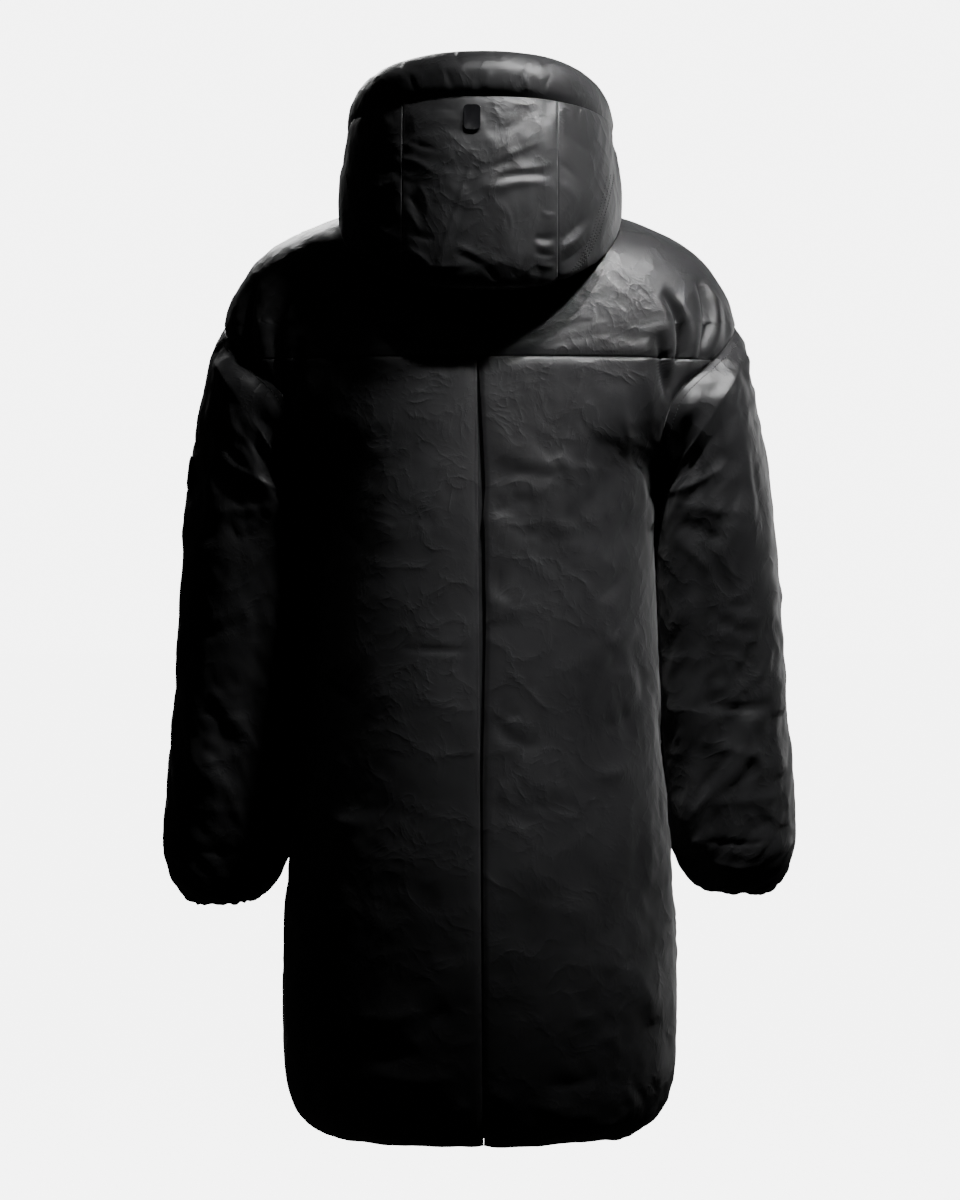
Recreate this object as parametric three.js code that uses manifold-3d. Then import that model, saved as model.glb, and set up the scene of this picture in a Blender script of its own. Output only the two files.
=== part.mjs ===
// A padded parka, filled out as if worn, with nobody in it. Millimetres, +Z up.
// The front looks towards -Y and the wearer's left is +X.
// The origin is the middle of the neck, level with the foot of the hood, where the shoulders carry the coat.

import * as THREE from 'three';
import { mergeVertices } from 'three/addons/utils/BufferGeometryUtils.js';
import Module from 'manifold-3d';

const wasm = await Module();
wasm.setup();

// Driving sizes
const BODY_WALL = 8;
const SLEEVE_WALL = 7;
const HOOD_WALL = 6;
const SEAM_GAP = 0.3;
const ROUNDNESS = 2.35;
const SEAM_PINCH = 3;
const SEAM_PINCH_REACH = 16;
const FOLD_SAMPLES = 12;
const RIM_SLANT = 0.37;

const BACK_COLUMNS = 10;
const FRONT_COLUMNS = 8;
const GUSSET_COLUMNS = 5;
const PLEAT_COLUMNS = 2;

const ZIP_CHANNEL = 10;
const ZIP_TAPE_EDGE = 1.6;
const ZIP_TAPE_DEPTH = 2.5;
const ZIP_TAPE_WALL = 1.2;

const UNDERLAY_HALF = 36;
const UNDERLAY_WALL = 3;
const UNDERLAY_GAP = 0.6;

const LEFT_SLEEVE_DROP = 10;
const SLEEVE_DROP_FROM = -300;
const SLEEVE_DROP_TO = -700;

const PATCH_WALL = 3;
const PATCH_FROM = -245;
const PATCH_TO = -279;
const PATCH_TURN = 0.42;
const PATCH_ROWS = 3;
const PATCH_COLUMNS = 6;

const TAB_WIDTH = 17;
const TAB_HEIGHT = 27;
const TAB_CORNER = 5;
const TAB_WALL = 2;
const TAB_BEVEL = 0.6;
const TAB_ACROSS = 8;
const TAB_ROW = 7.15;
const TAB_CLEAR = 1.1;

const SLIDER_Z = 58;
const SLIDER_WIDTH = 13;
const SLIDER_LENGTH = 20;
const SLIDER_FACE = 3;
const SLIDER_BACK = 1.6;
const SLIDER_POST = 2.4;
const SLIDER_CORNER = 3;
const BAIL_WIDTH = 2.2;
const BAIL_THICK = 1.4;
const BAIL_CLEAR = 3;
const BAIL_FEET = 12;
const PULL_WIDTH = 9;
const PULL_THICK = 1.6;
const PULL_LENGTH = 34;
const PULL_WINDOW_WIDTH = 4.4;
const PULL_WINDOW_LENGTH = 10;
const PULL_CORNER = 2;
const WELD = 0.5;
const CURVE_STEPS = 5;

const SURFACE_STEP = 0.02;
const PATCH_STEP = 0.05;
const FACING_NONE = 0.12;
const FACING_FULL = 0.5;
const BACK_QUIET = 45;
const FRONT_QUIET = 34;
const QUIET_EASE = 15;

const LEFT = 1;
const RIGHT = -1;

const shell = { color: 0x0c0c0d, roughness: 0.52, metalness: 0.0 };
const gusset = { color: 0x0e0e0f, roughness: 0.5, metalness: 0.0 };
const tape = { color: 0x101012, roughness: 0.85, metalness: 0.0 };
const metal = { color: 0x1a1a1c, roughness: 0.35, metalness: 0.8 };
const gloss = { color: 0x0a0a0b, roughness: 0.2, metalness: 0.0 };

const named = (columns, rows) =>
  rows.map((row) => Object.fromEntries(columns.map((name, at) => [name, row[at]])));

// Loops round the body from the hem up to the neck. Each has a back, a side and a front point;
// `armhole` is how far from the middle the panels end, where a sleeve is set in.
const BODY = named(
  ['half', 'backY', 'backZ', 'sideY', 'sideZ', 'frontY', 'frontZ', 'armhole'],
  [
    [166, 138, -946, 0, -946, -136, -946, 166],
    [185, 153, -934, 0, -934, -149, -934, 185],
    [198, 162, -911, 0, -911, -157, -911, 198],
    [205, 167, -872, 0, -872, -161, -872, 205],
    [207, 168, -800, 0, -800, -162, -800, 207],
    [204, 168, -730, 0, -730, -161, -730, 204],
    [198, 166, -640, 0, -640, -159, -640, 198],
    [191, 164, -550, 0, -550, -157, -550, 191],
    [187, 162, -450, 0, -450, -154, -450, 187],
    [184, 159, -360, 0, -360, -151, -360, 184],
    [185.5, 157, -300, 0, -300, -149, -300, 185.5],
    [190, 155, -262, 0, -262, -147, -262, 190],
    [200, 154, -245, 0, -245, -146, -245, 190],
    [228, 152, -215, 0, -215, -144, -215, 190],
    [254, 149, -180, 0, -180, -140, -180, 205],
    [266, 145, -148, 0, -148, -136, -148, 240],
    [270, 141, -129, 0, -125, -132, -132, 260],
    [268, 137, -111, 0, -106, -128, -118, 268],
    [261, 132, -92, 0, -80, -123, -103, 261],
    [249, 127, -73, 0, -58, -118, -88, 249],
    [233, 120, -53, 0, -37, -112, -72, 233],
    [206, 111, -33, 0, -16, -105, -56, 206],
    [159, 97, -12, 2, 5, -96, -38, 159],
    [98, 80, 4, 5, 22, -86, -21, 98],
  ],
);
const UNDERARM = 11;
const YOKE_SEAM = 15;
const SHOULDER_POINT = 17;
const NECK = BODY.length - 1;
const ZIP_FOOT = 0.5;

// Loops of the hood from the neck seam, down to its resting fold and up to the seam of the brim.
const HOOD = named(
  ['half', 'backY', 'backZ', 'sideY', 'sideZ', 'frontY', 'frontZ', 'gusset'],
  [
    [98, 80, 4, 5, 22, -86, -21, 72.5],
    [120, 106, -8, 12, 19, -100, -8, 76],
    [138, 146, -52, 26, 14, -110, 6, 78],
    [146.5, 174, -84, 38, 16, -116, 20, 78],
    [147, 190, -64, 43, 34, -120, 32, 78],
    [145, 196, -18, 45, 50, -121.5, 42, 78],
    [142, 195, 34, 43, 64, -121.5, 50, 78],
    [139.5, 188, 80, 38, 77, -121.5, 57, 78],
    [137.5, 180, 108, 32, 88, -121.5, 63, 78],
  ],
);

// The brim: a puffed band that rolls over the rim of the hood and ends inside it.
const BRIM = named(
  ['half', 'backY', 'backZ', 'sideY', 'sideZ', 'frontY', 'frontZ'],
  [
    [137.5, 180, 108, 32, 88, -121.5, 63],
    [138, 184, 120, 27, 97, -121.5, 70],
    [136, 182, 137, 20, 107, -121.5, 77],
    [131, 170, 152, 12, 115, -119, 84],
    [123, 150, 158, 6, 117, -114, 88],
    [115, 132, 151, 3, 110, -109, 86],
    [111, 122, 136, 4, 98, -106, 79],
  ],
);

// Sections of a sleeve, from beside the armhole down to the turned-under cuff.
const SLEEVE = named(
  ['outerX', 'outerZ', 'innerX', 'innerZ', 'middleY', 'depth'],
  [
    [281, -142, 191.5, -268, 0, 100],
    [290, -184, 192, -275, -1, 98],
    [298, -226, 191.5, -287, -2, 95],
    [304, -268, 190, -306, -3, 92],
    [310, -340, 188.5, -354, -5, 88],
    [315.5, -400, 188.5, -408, -8, 84],
    [320, -460, 190.5, -464, -11, 81],
    [324, -520, 193, -521, -14, 79],
    [329, -575, 196, -574, -17, 77],
    [333, -625, 200.5, -620, -20, 75],
    [332, -655, 203.5, -648, -22, 72],
    [325, -680, 209, -672, -23, 64],
    [312, -697, 222, -690, -24, 52],
    [298, -705, 236, -700, -25, 40],
  ],
);

// The slit of the back pleat: how far its two folded edges stand from the middle at each height.
const PLEAT = named(
  ['height', 'left', 'right'],
  [
    [-946, -2.9, -4.6],
    [-580, 0, -2.6],
    [-419, 1, -6],
    [-323, 1.8, -4.6],
    [-311, 1.9, -2.8],
    [-281, 2.1, -5.6],
    [-202, 2.6, -1.6],
    [-148, 3, 2.2],
  ],
);

// Folds as soft troughs (height below zero) and ridges, each along a bent line seen from behind or in front.
const FOLD_NAMES = ['face', 'fromX', 'fromZ', 'viaX', 'viaZ', 'toX', 'toZ', 'width', 'height'];
const BACK = 1;
const FRONT = -1;
const BODY_FOLDS = named(FOLD_NAMES, [
  [BACK, -194, -84, -216, -116, -196, -186, 18, -11],
  [BACK, -230, -62, -250, -98, -230, -150, 17, -8],
  [BACK, 194, -88, 215, -118, 196, -186, 18, -10],
  [BACK, 232, -66, 250, -100, 230, -150, 17, -7],
  [FRONT, -194, -92, -216, -120, -194, -190, 18, -10],
  [FRONT, 194, -90, 216, -118, 194, -186, 18, -10],
  [FRONT, -226, -70, -246, -100, -224, -150, 17, -7],
  [BACK, -176, -250, -172, -300, -176, -350, 16, -7],
  [BACK, 176, -256, 171, -306, 176, -356, 16, -7],
  [BACK, 62, -842, 92, -862, 122, -848, 15, -7],
  [BACK, 60, -806, 96, -820, 128, -812, 16, 6],
  [BACK, -62, -905, -92, -920, -118, -908, 13, 6],
  [BACK, -62, -880, -92, -886, -122, -872, 14, -6],
  [BACK, -135, -868, -165, -905, -150, -926, 14, 6],
  [BACK, 132, -880, 158, -908, 150, -926, 14, 5],
  [BACK, -150, -760, -172, -790, -176, -830, 14, 6],
  [FRONT, -60, -880, -96, -892, -124, -878, 14, -6],
  [FRONT, 60, -860, 96, -876, 126, -866, 15, -7],
  [FRONT, -170, -560, -140, -590, -104, -584, 16, -6],
  [FRONT, 168, -600, 136, -626, 98, -618, 16, -6],
  [FRONT, -172, -300, -150, -340, -110, -352, 16, -6],
  [FRONT, 172, -306, 150, -350, 108, -366, 16, -7],
]);
const SLEEVE_FOLDS = named(FOLD_NAMES, [
  [BACK, 208, -300, 236, -330, 262, -330, 15, -9],
  [BACK, 214, -264, 246, -300, 284, -296, 15, 7],
  [BACK, 228, -498, 262, -512, 306, -500, 14, -8],
  [BACK, 222, -540, 262, -548, 300, -560, 16, 5],
  [BACK, 236, -408, 262, -430, 300, -428, 16, -5],
  [BACK, 226, -640, 266, -654, 312, -640, 14, -7],
  [BACK, 232, -596, 266, -604, 306, -592, 18, 5],
  [FRONT, 210, -296, 238, -326, 268, -322, 15, -8],
  [FRONT, 216, -418, 256, -440, 300, -430, 14, -9],
  [FRONT, 214, -462, 256, -474, 304, -458, 14, -9],
  [FRONT, 222, -512, 260, -522, 300, -512, 16, -6],
  [FRONT, 226, -638, 266, -650, 310, -640, 14, -7],
]);
const HOOD_FOLDS = named(FOLD_NAMES, [
  [BACK, 5, 66, 26, 10, 44, -42, 9, 5],
  [BACK, -8, 24, -40, 34, -70, 30, 8, -5],
  [BACK, 22, -44, 4, -54, -20, -58, 10, -6],
  [BACK, -84, -34, -104, -4, -118, 24, 12, -5],
  [BACK, 84, -30, 106, 0, 120, 28, 12, -5],
  [BACK, 40, 84, 60, 66, 74, 60, 10, -4],
]);

const clamp = (value, low, high) => Math.min(Math.max(value, low), high);
const mix = (from, to, share) => from + (to - from) * share;
const power = (value, exponent) => Math.sign(value) * Math.abs(value) ** exponent;

function easeBetween(value, from, to) {
  const share = clamp((value - from) / (to - from), 0, 1);
  return share * share * (3 - 2 * share);
}

// A smooth value between the rows of a table, through each of them.
function smoothValue(rows, name, at) {
  const index = clamp(Math.floor(at), 0, rows.length - 2);
  const share = at - index;
  const before = rows[Math.max(index - 1, 0)][name];
  const from = rows[index][name];
  const to = rows[index + 1][name];
  const after = rows[Math.min(index + 2, rows.length - 1)][name];
  const curve = (2 * before - 5 * from + 4 * to - after) * share;
  const bend = (3 * from - before - 3 * to + after) * share * share;
  return from + 0.5 * share * (to - before + curve + bend);
}

function rowAt(rows, at) {
  return Object.fromEntries(Object.keys(rows[0]).map((name) => [name, smoothValue(rows, name, at)]));
}

// A point of a rounded loop: angle 0 is the middle of the back and a quarter turn is the side.
function loopPoint(row, angle) {
  const across = power(Math.sin(angle), 2 / ROUNDNESS) * row.half;
  const along = power(Math.cos(angle), 2 / ROUNDNESS);
  const endY = along > 0 ? row.backY : row.frontY;
  const endZ = along > 0 ? row.backZ : row.frontZ;
  const share = Math.abs(along);
  return new THREE.Vector3(across, mix(row.sideY, endY, share), mix(row.sideZ, endZ, share));
}

// The angle at which a loop reaches a given distance from the middle.
const angleAcross = (across, half) => Math.asin(power(clamp(across / half, -1, 1), ROUNDNESS / 2));

const loopAt = (rows) => (at, angle) => loopPoint(rowAt(rows, clamp(at, 0, rows.length - 1)), angle);
const bodyAt = loopAt(BODY);
const hoodAt = loopAt(HOOD);
const brimAt = loopAt(BRIM);

function loopNormal(surface, rows, at, angle) {
  const low = clamp(at - SURFACE_STEP, 0, rows.length - 1);
  const high = clamp(at + SURFACE_STEP, 0, rows.length - 1);
  const up = surface(high, angle).sub(surface(low, angle));
  const round = surface(at, angle + SURFACE_STEP).sub(surface(at, angle - SURFACE_STEP));
  return up.cross(round).normalize();
}

// How far a fold lifts a point, fading towards both of its ends.
function foldLift(fold, x, z) {
  let nearest = Infinity;
  let along = 0;
  for (let sample = 0; sample <= FOLD_SAMPLES; sample += 1) {
    const share = sample / FOLD_SAMPLES;
    const rest = 1 - share;
    const curveX = rest * rest * fold.fromX + 2 * rest * share * fold.viaX + share * share * fold.toX;
    const curveZ = rest * rest * fold.fromZ + 2 * rest * share * fold.viaZ + share * share * fold.toZ;
    const distance = Math.hypot(x - curveX, z - curveZ);
    if (distance < nearest) {
      nearest = distance;
      along = share;
    }
  }
  const fade = Math.sqrt(Math.max(Math.sin(Math.PI * clamp(along, 0.04, 0.96)), 0));
  return fold.height * fade * Math.exp(-((nearest / fold.width) ** 2));
}

function foldsLift(folds, point, normal, middle = 0) {
  const face = point.y > middle ? BACK : FRONT;
  const facing = easeBetween(Math.abs(normal.y), FACING_NONE, FACING_FULL);
  return facing * folds
    .filter((fold) => fold.face === face)
    .reduce((sum, fold) => sum + foldLift(fold, point.x, point.z), 0);
}

// A closed solid from a grid of spots: an outer skin, a plain inner skin and the edges between them.
// Both edges of a seam split their quads along the same diagonal, so they stay parallel.
function wallGeometry(spots, depth, closed = false) {
  const rows = spots.length;
  const columns = spots[0].length;
  const positions = [];
  const indices = [];
  const skins = [
    (spot) => spot.point.clone().addScaledVector(spot.normal, spot.lift),
    (spot) => spot.point.clone().addScaledVector(spot.normal, Math.min(spot.lift, 0) - depth),
  ];
  for (const skin of skins) {
    for (const row of spots) {
      for (const spot of row) {
        positions.push(...skin(spot).toArray());
      }
    }
  }
  const outer = (row, column) => row * columns + (column % columns);
  const inner = (row, column) => rows * columns + outer(row, column);
  const quad = (a, b, c, d) => indices.push(a, b, c, a, c, d);
  const rank = (corner) => positions[corner * 3] + RIM_SLANT * positions[corner * 3 + 2];
  const rim = (a, b, c, d) => (rank(a) > rank(b) ? quad(a, b, c, d) : quad(b, c, d, a));
  const spans = closed ? columns : columns - 1;
  for (let row = 0; row < rows - 1; row += 1) {
    for (let column = 0; column < spans; column += 1) {
      const next = column + 1;
      quad(outer(row, column), outer(row, next), outer(row + 1, next), outer(row + 1, column));
      quad(inner(row, column), inner(row + 1, column), inner(row + 1, next), inner(row, next));
    }
  }
  for (let column = 0; column < spans; column += 1) {
    const next = column + 1;
    rim(outer(0, next), outer(0, column), inner(0, column), inner(0, next));
    rim(outer(rows - 1, column), outer(rows - 1, next), inner(rows - 1, next), inner(rows - 1, column));
  }
  if (!closed) {
    for (let row = 0; row < rows - 1; row += 1) {
      const last = columns - 1;
      rim(outer(row, 0), outer(row + 1, 0), inner(row + 1, 0), inner(row, 0));
      rim(outer(row + 1, last), outer(row, last), inner(row, last), inner(row + 1, last));
    }
  }
  const geometry = new THREE.BufferGeometry();
  geometry.setAttribute('position', new THREE.Float32BufferAttribute(positions, 3));
  geometry.setIndex(volumeOf(positions, indices) < 0 ? indices.reverse() : indices);
  geometry.computeVertexNormals();
  return geometry;
}

function volumeOf(positions, indices) {
  const corner = (at) => new THREE.Vector3().fromArray(positions, indices[at] * 3);
  let volume = 0;
  for (let at = 0; at < indices.length; at += 3) {
    volume += corner(at).dot(corner(at + 1).cross(corner(at + 2))) / 6;
  }
  return volume;
}

// Edge spots step half a seam gap towards the middle of their own panel.
function drawInEdges(spots, edges) {
  const rows = spots.length;
  const columns = spots[0].length;
  const step = (spot, towards) => {
    const shift = towards.point.clone().sub(spot.point).setLength(SEAM_GAP / 2);
    spot.point.add(shift);
  };
  for (let column = 0; column < columns; column += 1) {
    if (edges.foot) step(spots[0][column], spots[1][column]);
    if (edges.head) step(spots[rows - 1][column], spots[rows - 2][column]);
  }
  for (let row = 0; row < rows; row += 1) {
    if (edges.start) step(spots[row][0], spots[row][1]);
    if (edges.end) step(spots[row][columns - 1], spots[row][columns - 2]);
  }
}

// Sewn edges are pulled in a little against the padding beside them.
function pinchEdges(spots, edges) {
  const rows = spots.length;
  const columns = spots[0].length;
  spots.forEach((line, row) => line.forEach((spot, column) => {
    const borders = [
      [edges.foot, spots[0][column]],
      [edges.head, spots[rows - 1][column]],
      [edges.start, spots[row][0]],
      [edges.end, spots[row][columns - 1]],
    ];
    const reach = Math.min(...borders.map(([sewn, border]) => (
      sewn ? border.point.distanceTo(spot.point) : Infinity)));
    spot.lift -= SEAM_PINCH * Math.exp(-((reach / SEAM_PINCH_REACH) ** 2));
  }));
}

// The whole and half rows between two rows of a table.
function rowStops(from, to, halves) {
  const stops = [];
  for (let at = from; at < to; at += 1) {
    stops.push(at);
    if (halves(at)) stops.push(at + 0.5);
  }
  return [...stops, to];
}

const bodyHalves = (at) => (at >= 3 && at <= 8) || (at >= UNDERARM && at < SHOULDER_POINT);
const group = new THREE.Group();

function addMesh(name, geometry, look) {
  const mesh = new THREE.Mesh(geometry, new THREE.MeshStandardMaterial(look));
  mesh.name = name;
  group.add(mesh);
  return mesh;
}

function pleatEdge(height, side) {
  const column = side === LEFT ? 'left' : 'right';
  const above = clamp(PLEAT.findIndex((row) => row.height >= height), 1, PLEAT.length - 1);
  const low = PLEAT[above - 1];
  const high = PLEAT[above];
  const share = clamp((height - low.height) / (high.height - low.height), 0, 1);
  return mix(low[column], high[column], share);
}

function bodySpot(at, angle, folded = 1) {
  const point = bodyAt(at, angle);
  const normal = loopNormal(bodyAt, BODY, at, angle);
  return { point, normal, lift: folded * foldsLift(BODY_FOLDS, point, normal) };
}

// Where the side edge of the panels lies on a loop, behind and in front.
function sideAngle(at, face) {
  const row = rowAt(BODY, at);
  const free = at <= UNDERARM || at >= SHOULDER_POINT;
  const angle = free ? Math.PI / 2 : angleAcross(row.armhole, row.half);
  return face === BACK ? angle : Math.PI - angle;
}

function backPanelSpots(side) {
  const spots = rowStops(0, YOKE_SEAM, bodyHalves).map((at) => {
    const row = rowAt(BODY, at);
    const inner = angleAcross(pleatEdge(row.backZ, side) * side, row.half);
    const line = [];
    for (let column = 0; column <= BACK_COLUMNS; column += 1) {
      const angle = mix(inner, sideAngle(at, BACK), column / BACK_COLUMNS);
      const spot = bodySpot(at, angle * side);
      spot.lift *= easeBetween(Math.abs(spot.point.x), BACK_QUIET, BACK_QUIET + QUIET_EASE);
      line.push(spot);
    }
    return line;
  });
  pinchEdges(spots, { head: true, end: true });
  drawInEdges(spots, { head: true, end: true });
  return spots;
}

function yokeSpots() {
  const spots = rowStops(YOKE_SEAM, NECK, bodyHalves).map((at) => {
    const row = rowAt(BODY, at);
    const line = [];
    for (let column = -BACK_COLUMNS; column <= BACK_COLUMNS; column += 1) {
      const side = column < 0 ? RIGHT : LEFT;
      const count = Math.abs(column);
      const inner = angleAcross(pleatEdge(BODY[YOKE_SEAM].backZ, side) * side, row.half);
      const angle = count === 0 ? 0 : mix(inner, sideAngle(at, BACK), count / BACK_COLUMNS);
      line.push(bodySpot(at, angle * side));
    }
    return line;
  });
  pinchEdges(spots, { foot: true, head: true, start: true, end: true });
  drawInEdges(spots, { foot: true, start: true, end: true });
  return spots;
}

function frontSpots(side) {
  const spots = rowStops(0, NECK, bodyHalves).map((at) => {
    const row = rowAt(BODY, at);
    const zipAngle = Math.PI - angleAcross(ZIP_CHANNEL, row.half);
    const line = [];
    for (let column = 0; column <= FRONT_COLUMNS; column += 1) {
      const angle = mix(sideAngle(at, FRONT), zipAngle, column / FRONT_COLUMNS);
      const spot = bodySpot(at, angle * side);
      spot.lift *= easeBetween(Math.abs(spot.point.x), FRONT_QUIET, FRONT_QUIET + QUIET_EASE);
      line.push(spot);
    }
    return line;
  });
  pinchEdges(spots, { head: true, start: true });
  drawInEdges(spots, { start: true });
  return spots;
}

const outerPoint = (spot) => spot.point.clone().addScaledVector(spot.normal, spot.lift);

// The armhole's points from the shoulder down behind, under the arm and up in front.
function armholePoints(side, back, yoke, front) {
  const stops = rowStops(UNDERARM, SHOULDER_POINT, bodyHalves);
  const backStops = rowStops(0, YOKE_SEAM, bodyHalves);
  const yokeStops = rowStops(YOKE_SEAM, NECK, bodyHalves);
  const frontStops = rowStops(0, NECK, bodyHalves);
  const yokeColumn = side === LEFT ? yoke[0].length - 1 : 0;
  const backSpot = (at) => (at <= YOKE_SEAM
    ? back[backStops.indexOf(at)][BACK_COLUMNS]
    : yoke[yokeStops.indexOf(at)][yokeColumn]);
  const frontSpot = (at) => front[frontStops.indexOf(at)][0];
  const middle = (one, other) => ({
    point: outerPoint(one).lerp(outerPoint(other), 0.5),
    normal: one.normal.clone().add(other.normal).normalize(),
  });
  const single = (spot) => ({ point: outerPoint(spot), normal: spot.normal.clone() });
  const downBehind = stops.slice(1, -1).reverse().map((at) => (at === YOKE_SEAM
    ? middle(back[backStops.indexOf(at)][BACK_COLUMNS], yoke[0][yokeColumn])
    : single(backSpot(at))));
  const upInFront = stops.slice(1, -1).map((at) => single(frontSpot(at)));
  return [
    middle(backSpot(SHOULDER_POINT), frontSpot(SHOULDER_POINT)),
    ...downBehind,
    middle(backSpot(UNDERARM), frontSpot(UNDERARM)),
    ...upInFront,
  ];
}

function sleevePoint(row, turn, side) {
  const out = power(Math.cos(turn), 2 / ROUNDNESS);
  const behind = power(Math.sin(turn), 2 / ROUNDNESS);
  const x = mix(row.innerX, row.outerX, (1 + out) / 2);
  const z = mix(row.innerZ, row.outerZ, (1 + out) / 2);
  const drop = side === LEFT ? LEFT_SLEEVE_DROP * easeBetween(z, SLEEVE_DROP_FROM, SLEEVE_DROP_TO) : 0;
  return new THREE.Vector3(x * side, row.middleY + row.depth * behind, z - drop);
}

const sleeveTurn = (column, columns) => (2 * Math.PI * column) / columns;

function sleeveNormals(points) {
  const columns = points[0].length;
  return points.map((line, row) => line.map((point, column) => {
    const round = line[(column + 1) % columns].clone().sub(line[(column + columns - 1) % columns]);
    const low = points[Math.max(row - 1, 0)][column];
    const high = points[Math.min(row + 1, points.length - 1)][column];
    return round.cross(high.clone().sub(low)).normalize();
  }));
}

function sleeveSpots(side, armhole) {
  const columns = armhole.length;
  const sections = SLEEVE.map((row) => armhole.map((spot, column) => (
    sleevePoint(row, sleeveTurn(column, columns), side))));
  const start = armhole.map((spot, column) => {
    const towards = sections[0][column].clone().sub(spot.point).setLength(SEAM_GAP);
    return spot.point.clone().addScaledVector(spot.normal, SEAM_GAP).add(towards);
  });
  const points = [start, ...sections];
  const normals = sleeveNormals(points);
  const outward = Math.sign(normals[6][0].x * side);
  return points.map((line, row) => line.map((point, column) => {
    const normal = normals[row][column].multiplyScalar(outward);
    const mirrored = new THREE.Vector3(point.x * side, point.y, point.z);
    const middle = row > 0 ? SLEEVE[row - 1].middleY : 0;
    const lift = row > 0 ? foldsLift(SLEEVE_FOLDS, mirrored, normal, middle) : 0;
    return { point, normal, lift };
  }));
}

// The hood starts from the neck edge of the yoke and the fronts, point for point.
function neckPoints(yoke, fronts) {
  const neckLine = yoke[yoke.length - 1];
  const side = (direction) => {
    const front = fronts[direction].at(-1);
    const shoulder = neckLine[BACK_COLUMNS + direction * BACK_COLUMNS];
    const behind = [];
    for (let column = 0; column < BACK_COLUMNS; column += 1) {
      behind.push(outerPoint(neckLine[BACK_COLUMNS + direction * column]));
    }
    const top = outerPoint(shoulder).lerp(outerPoint(front[0]), 0.5);
    return [...behind, top, ...front.slice(1).map(outerPoint)];
  };
  return { [LEFT]: side(LEFT), [RIGHT]: side(RIGHT) };
}

function hoodAngle(at, column) {
  const row = rowAt(HOOD, at);
  const gussetAngle = at === 0
    ? (Math.PI / 2) * (GUSSET_COLUMNS / BACK_COLUMNS)
    : angleAcross(row.gusset, row.half);
  const zipAngle = Math.PI - angleAcross(ZIP_CHANNEL, row.half);
  if (column <= GUSSET_COLUMNS) return gussetAngle * (column / GUSSET_COLUMNS);
  if (column <= BACK_COLUMNS) {
    const share = (column - GUSSET_COLUMNS) / (BACK_COLUMNS - GUSSET_COLUMNS);
    return mix(gussetAngle, Math.PI / 2, share);
  }
  return mix(Math.PI / 2, zipAngle, (column - BACK_COLUMNS) / FRONT_COLUMNS);
}

function hoodSpot(at, column, side, neck) {
  const angle = hoodAngle(at, column) * side;
  const point = hoodAt(at, angle);
  const normal = loopNormal(hoodAt, HOOD, at, angle);
  if (at > 0) return { point, normal, lift: foldsLift(HOOD_FOLDS, point, normal) };
  const start = neck[side][column].clone();
  const towards = hoodAt(1, hoodAngle(1, column) * side).sub(start).setLength(SEAM_GAP);
  start.add(towards);
  start.z += SEAM_GAP;
  return { point: start, normal, lift: 0 };
}

const hoodStops = rowStops(0, HOOD.length - 1, (at) => at >= 3);

function hoodCentreSpots(neck) {
  const spots = hoodStops.map((at) => {
    const line = [];
    for (let column = -GUSSET_COLUMNS; column <= GUSSET_COLUMNS; column += 1) {
      line.push(hoodSpot(at, Math.abs(column), column < 0 ? RIGHT : LEFT, neck));
    }
    return line;
  });
  pinchEdges(spots.slice(1), { head: true, start: true, end: true });
  drawInEdges(spots, { head: true, start: true, end: true });
  return spots;
}

function hoodSideSpots(side, neck) {
  const spots = hoodStops.map((at) => {
    const line = [];
    for (let column = GUSSET_COLUMNS; column <= BACK_COLUMNS + FRONT_COLUMNS; column += 1) {
      line.push(hoodSpot(at, column, side, neck));
    }
    return line;
  });
  pinchEdges(spots.slice(1), { head: true, start: true });
  drawInEdges(spots, { head: true, start: true });
  return spots;
}

function brimSpots() {
  const columns = BACK_COLUMNS + FRONT_COLUMNS;
  const spots = BRIM.map((row, at) => {
    const zipAngle = Math.PI - angleAcross(ZIP_CHANNEL, row.half);
    const line = [];
    for (let column = -columns; column <= columns; column += 1) {
      const count = Math.abs(column);
      const side = column < 0 ? RIGHT : LEFT;
      const angle = count <= BACK_COLUMNS
        ? (Math.PI / 2) * (count / BACK_COLUMNS)
        : mix(Math.PI / 2, zipAngle, (count - BACK_COLUMNS) / FRONT_COLUMNS);
      const point = brimAt(at, angle * side);
      line.push({ point, normal: loopNormal(brimAt, BRIM, at, angle * side), lift: 0 });
    }
    return line;
  });
  drawInEdges(spots, { foot: true });
  spots[0].forEach((spot) => {
    spot.lift = -SEAM_PINCH;
  });
  return spots;
}

// The strip that closes the pleat lies behind both folded edges.
function underlaySpots() {
  return rowStops(0, YOKE_SEAM, bodyHalves).map((at) => {
    const row = rowAt(BODY, at);
    const line = [];
    for (let column = -PLEAT_COLUMNS; column <= PLEAT_COLUMNS; column += 1) {
      const across = UNDERLAY_HALF * (column / PLEAT_COLUMNS);
      const spot = bodySpot(at, angleAcross(across, row.half), 0);
      const reach = BODY[YOKE_SEAM].backZ - spot.point.z;
      const pinch = SEAM_PINCH * Math.exp(-((reach / SEAM_PINCH_REACH) ** 2));
      spot.lift = -(BODY_WALL + UNDERLAY_GAP + pinch);
      line.push(spot);
    }
    return line;
  });
}

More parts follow.
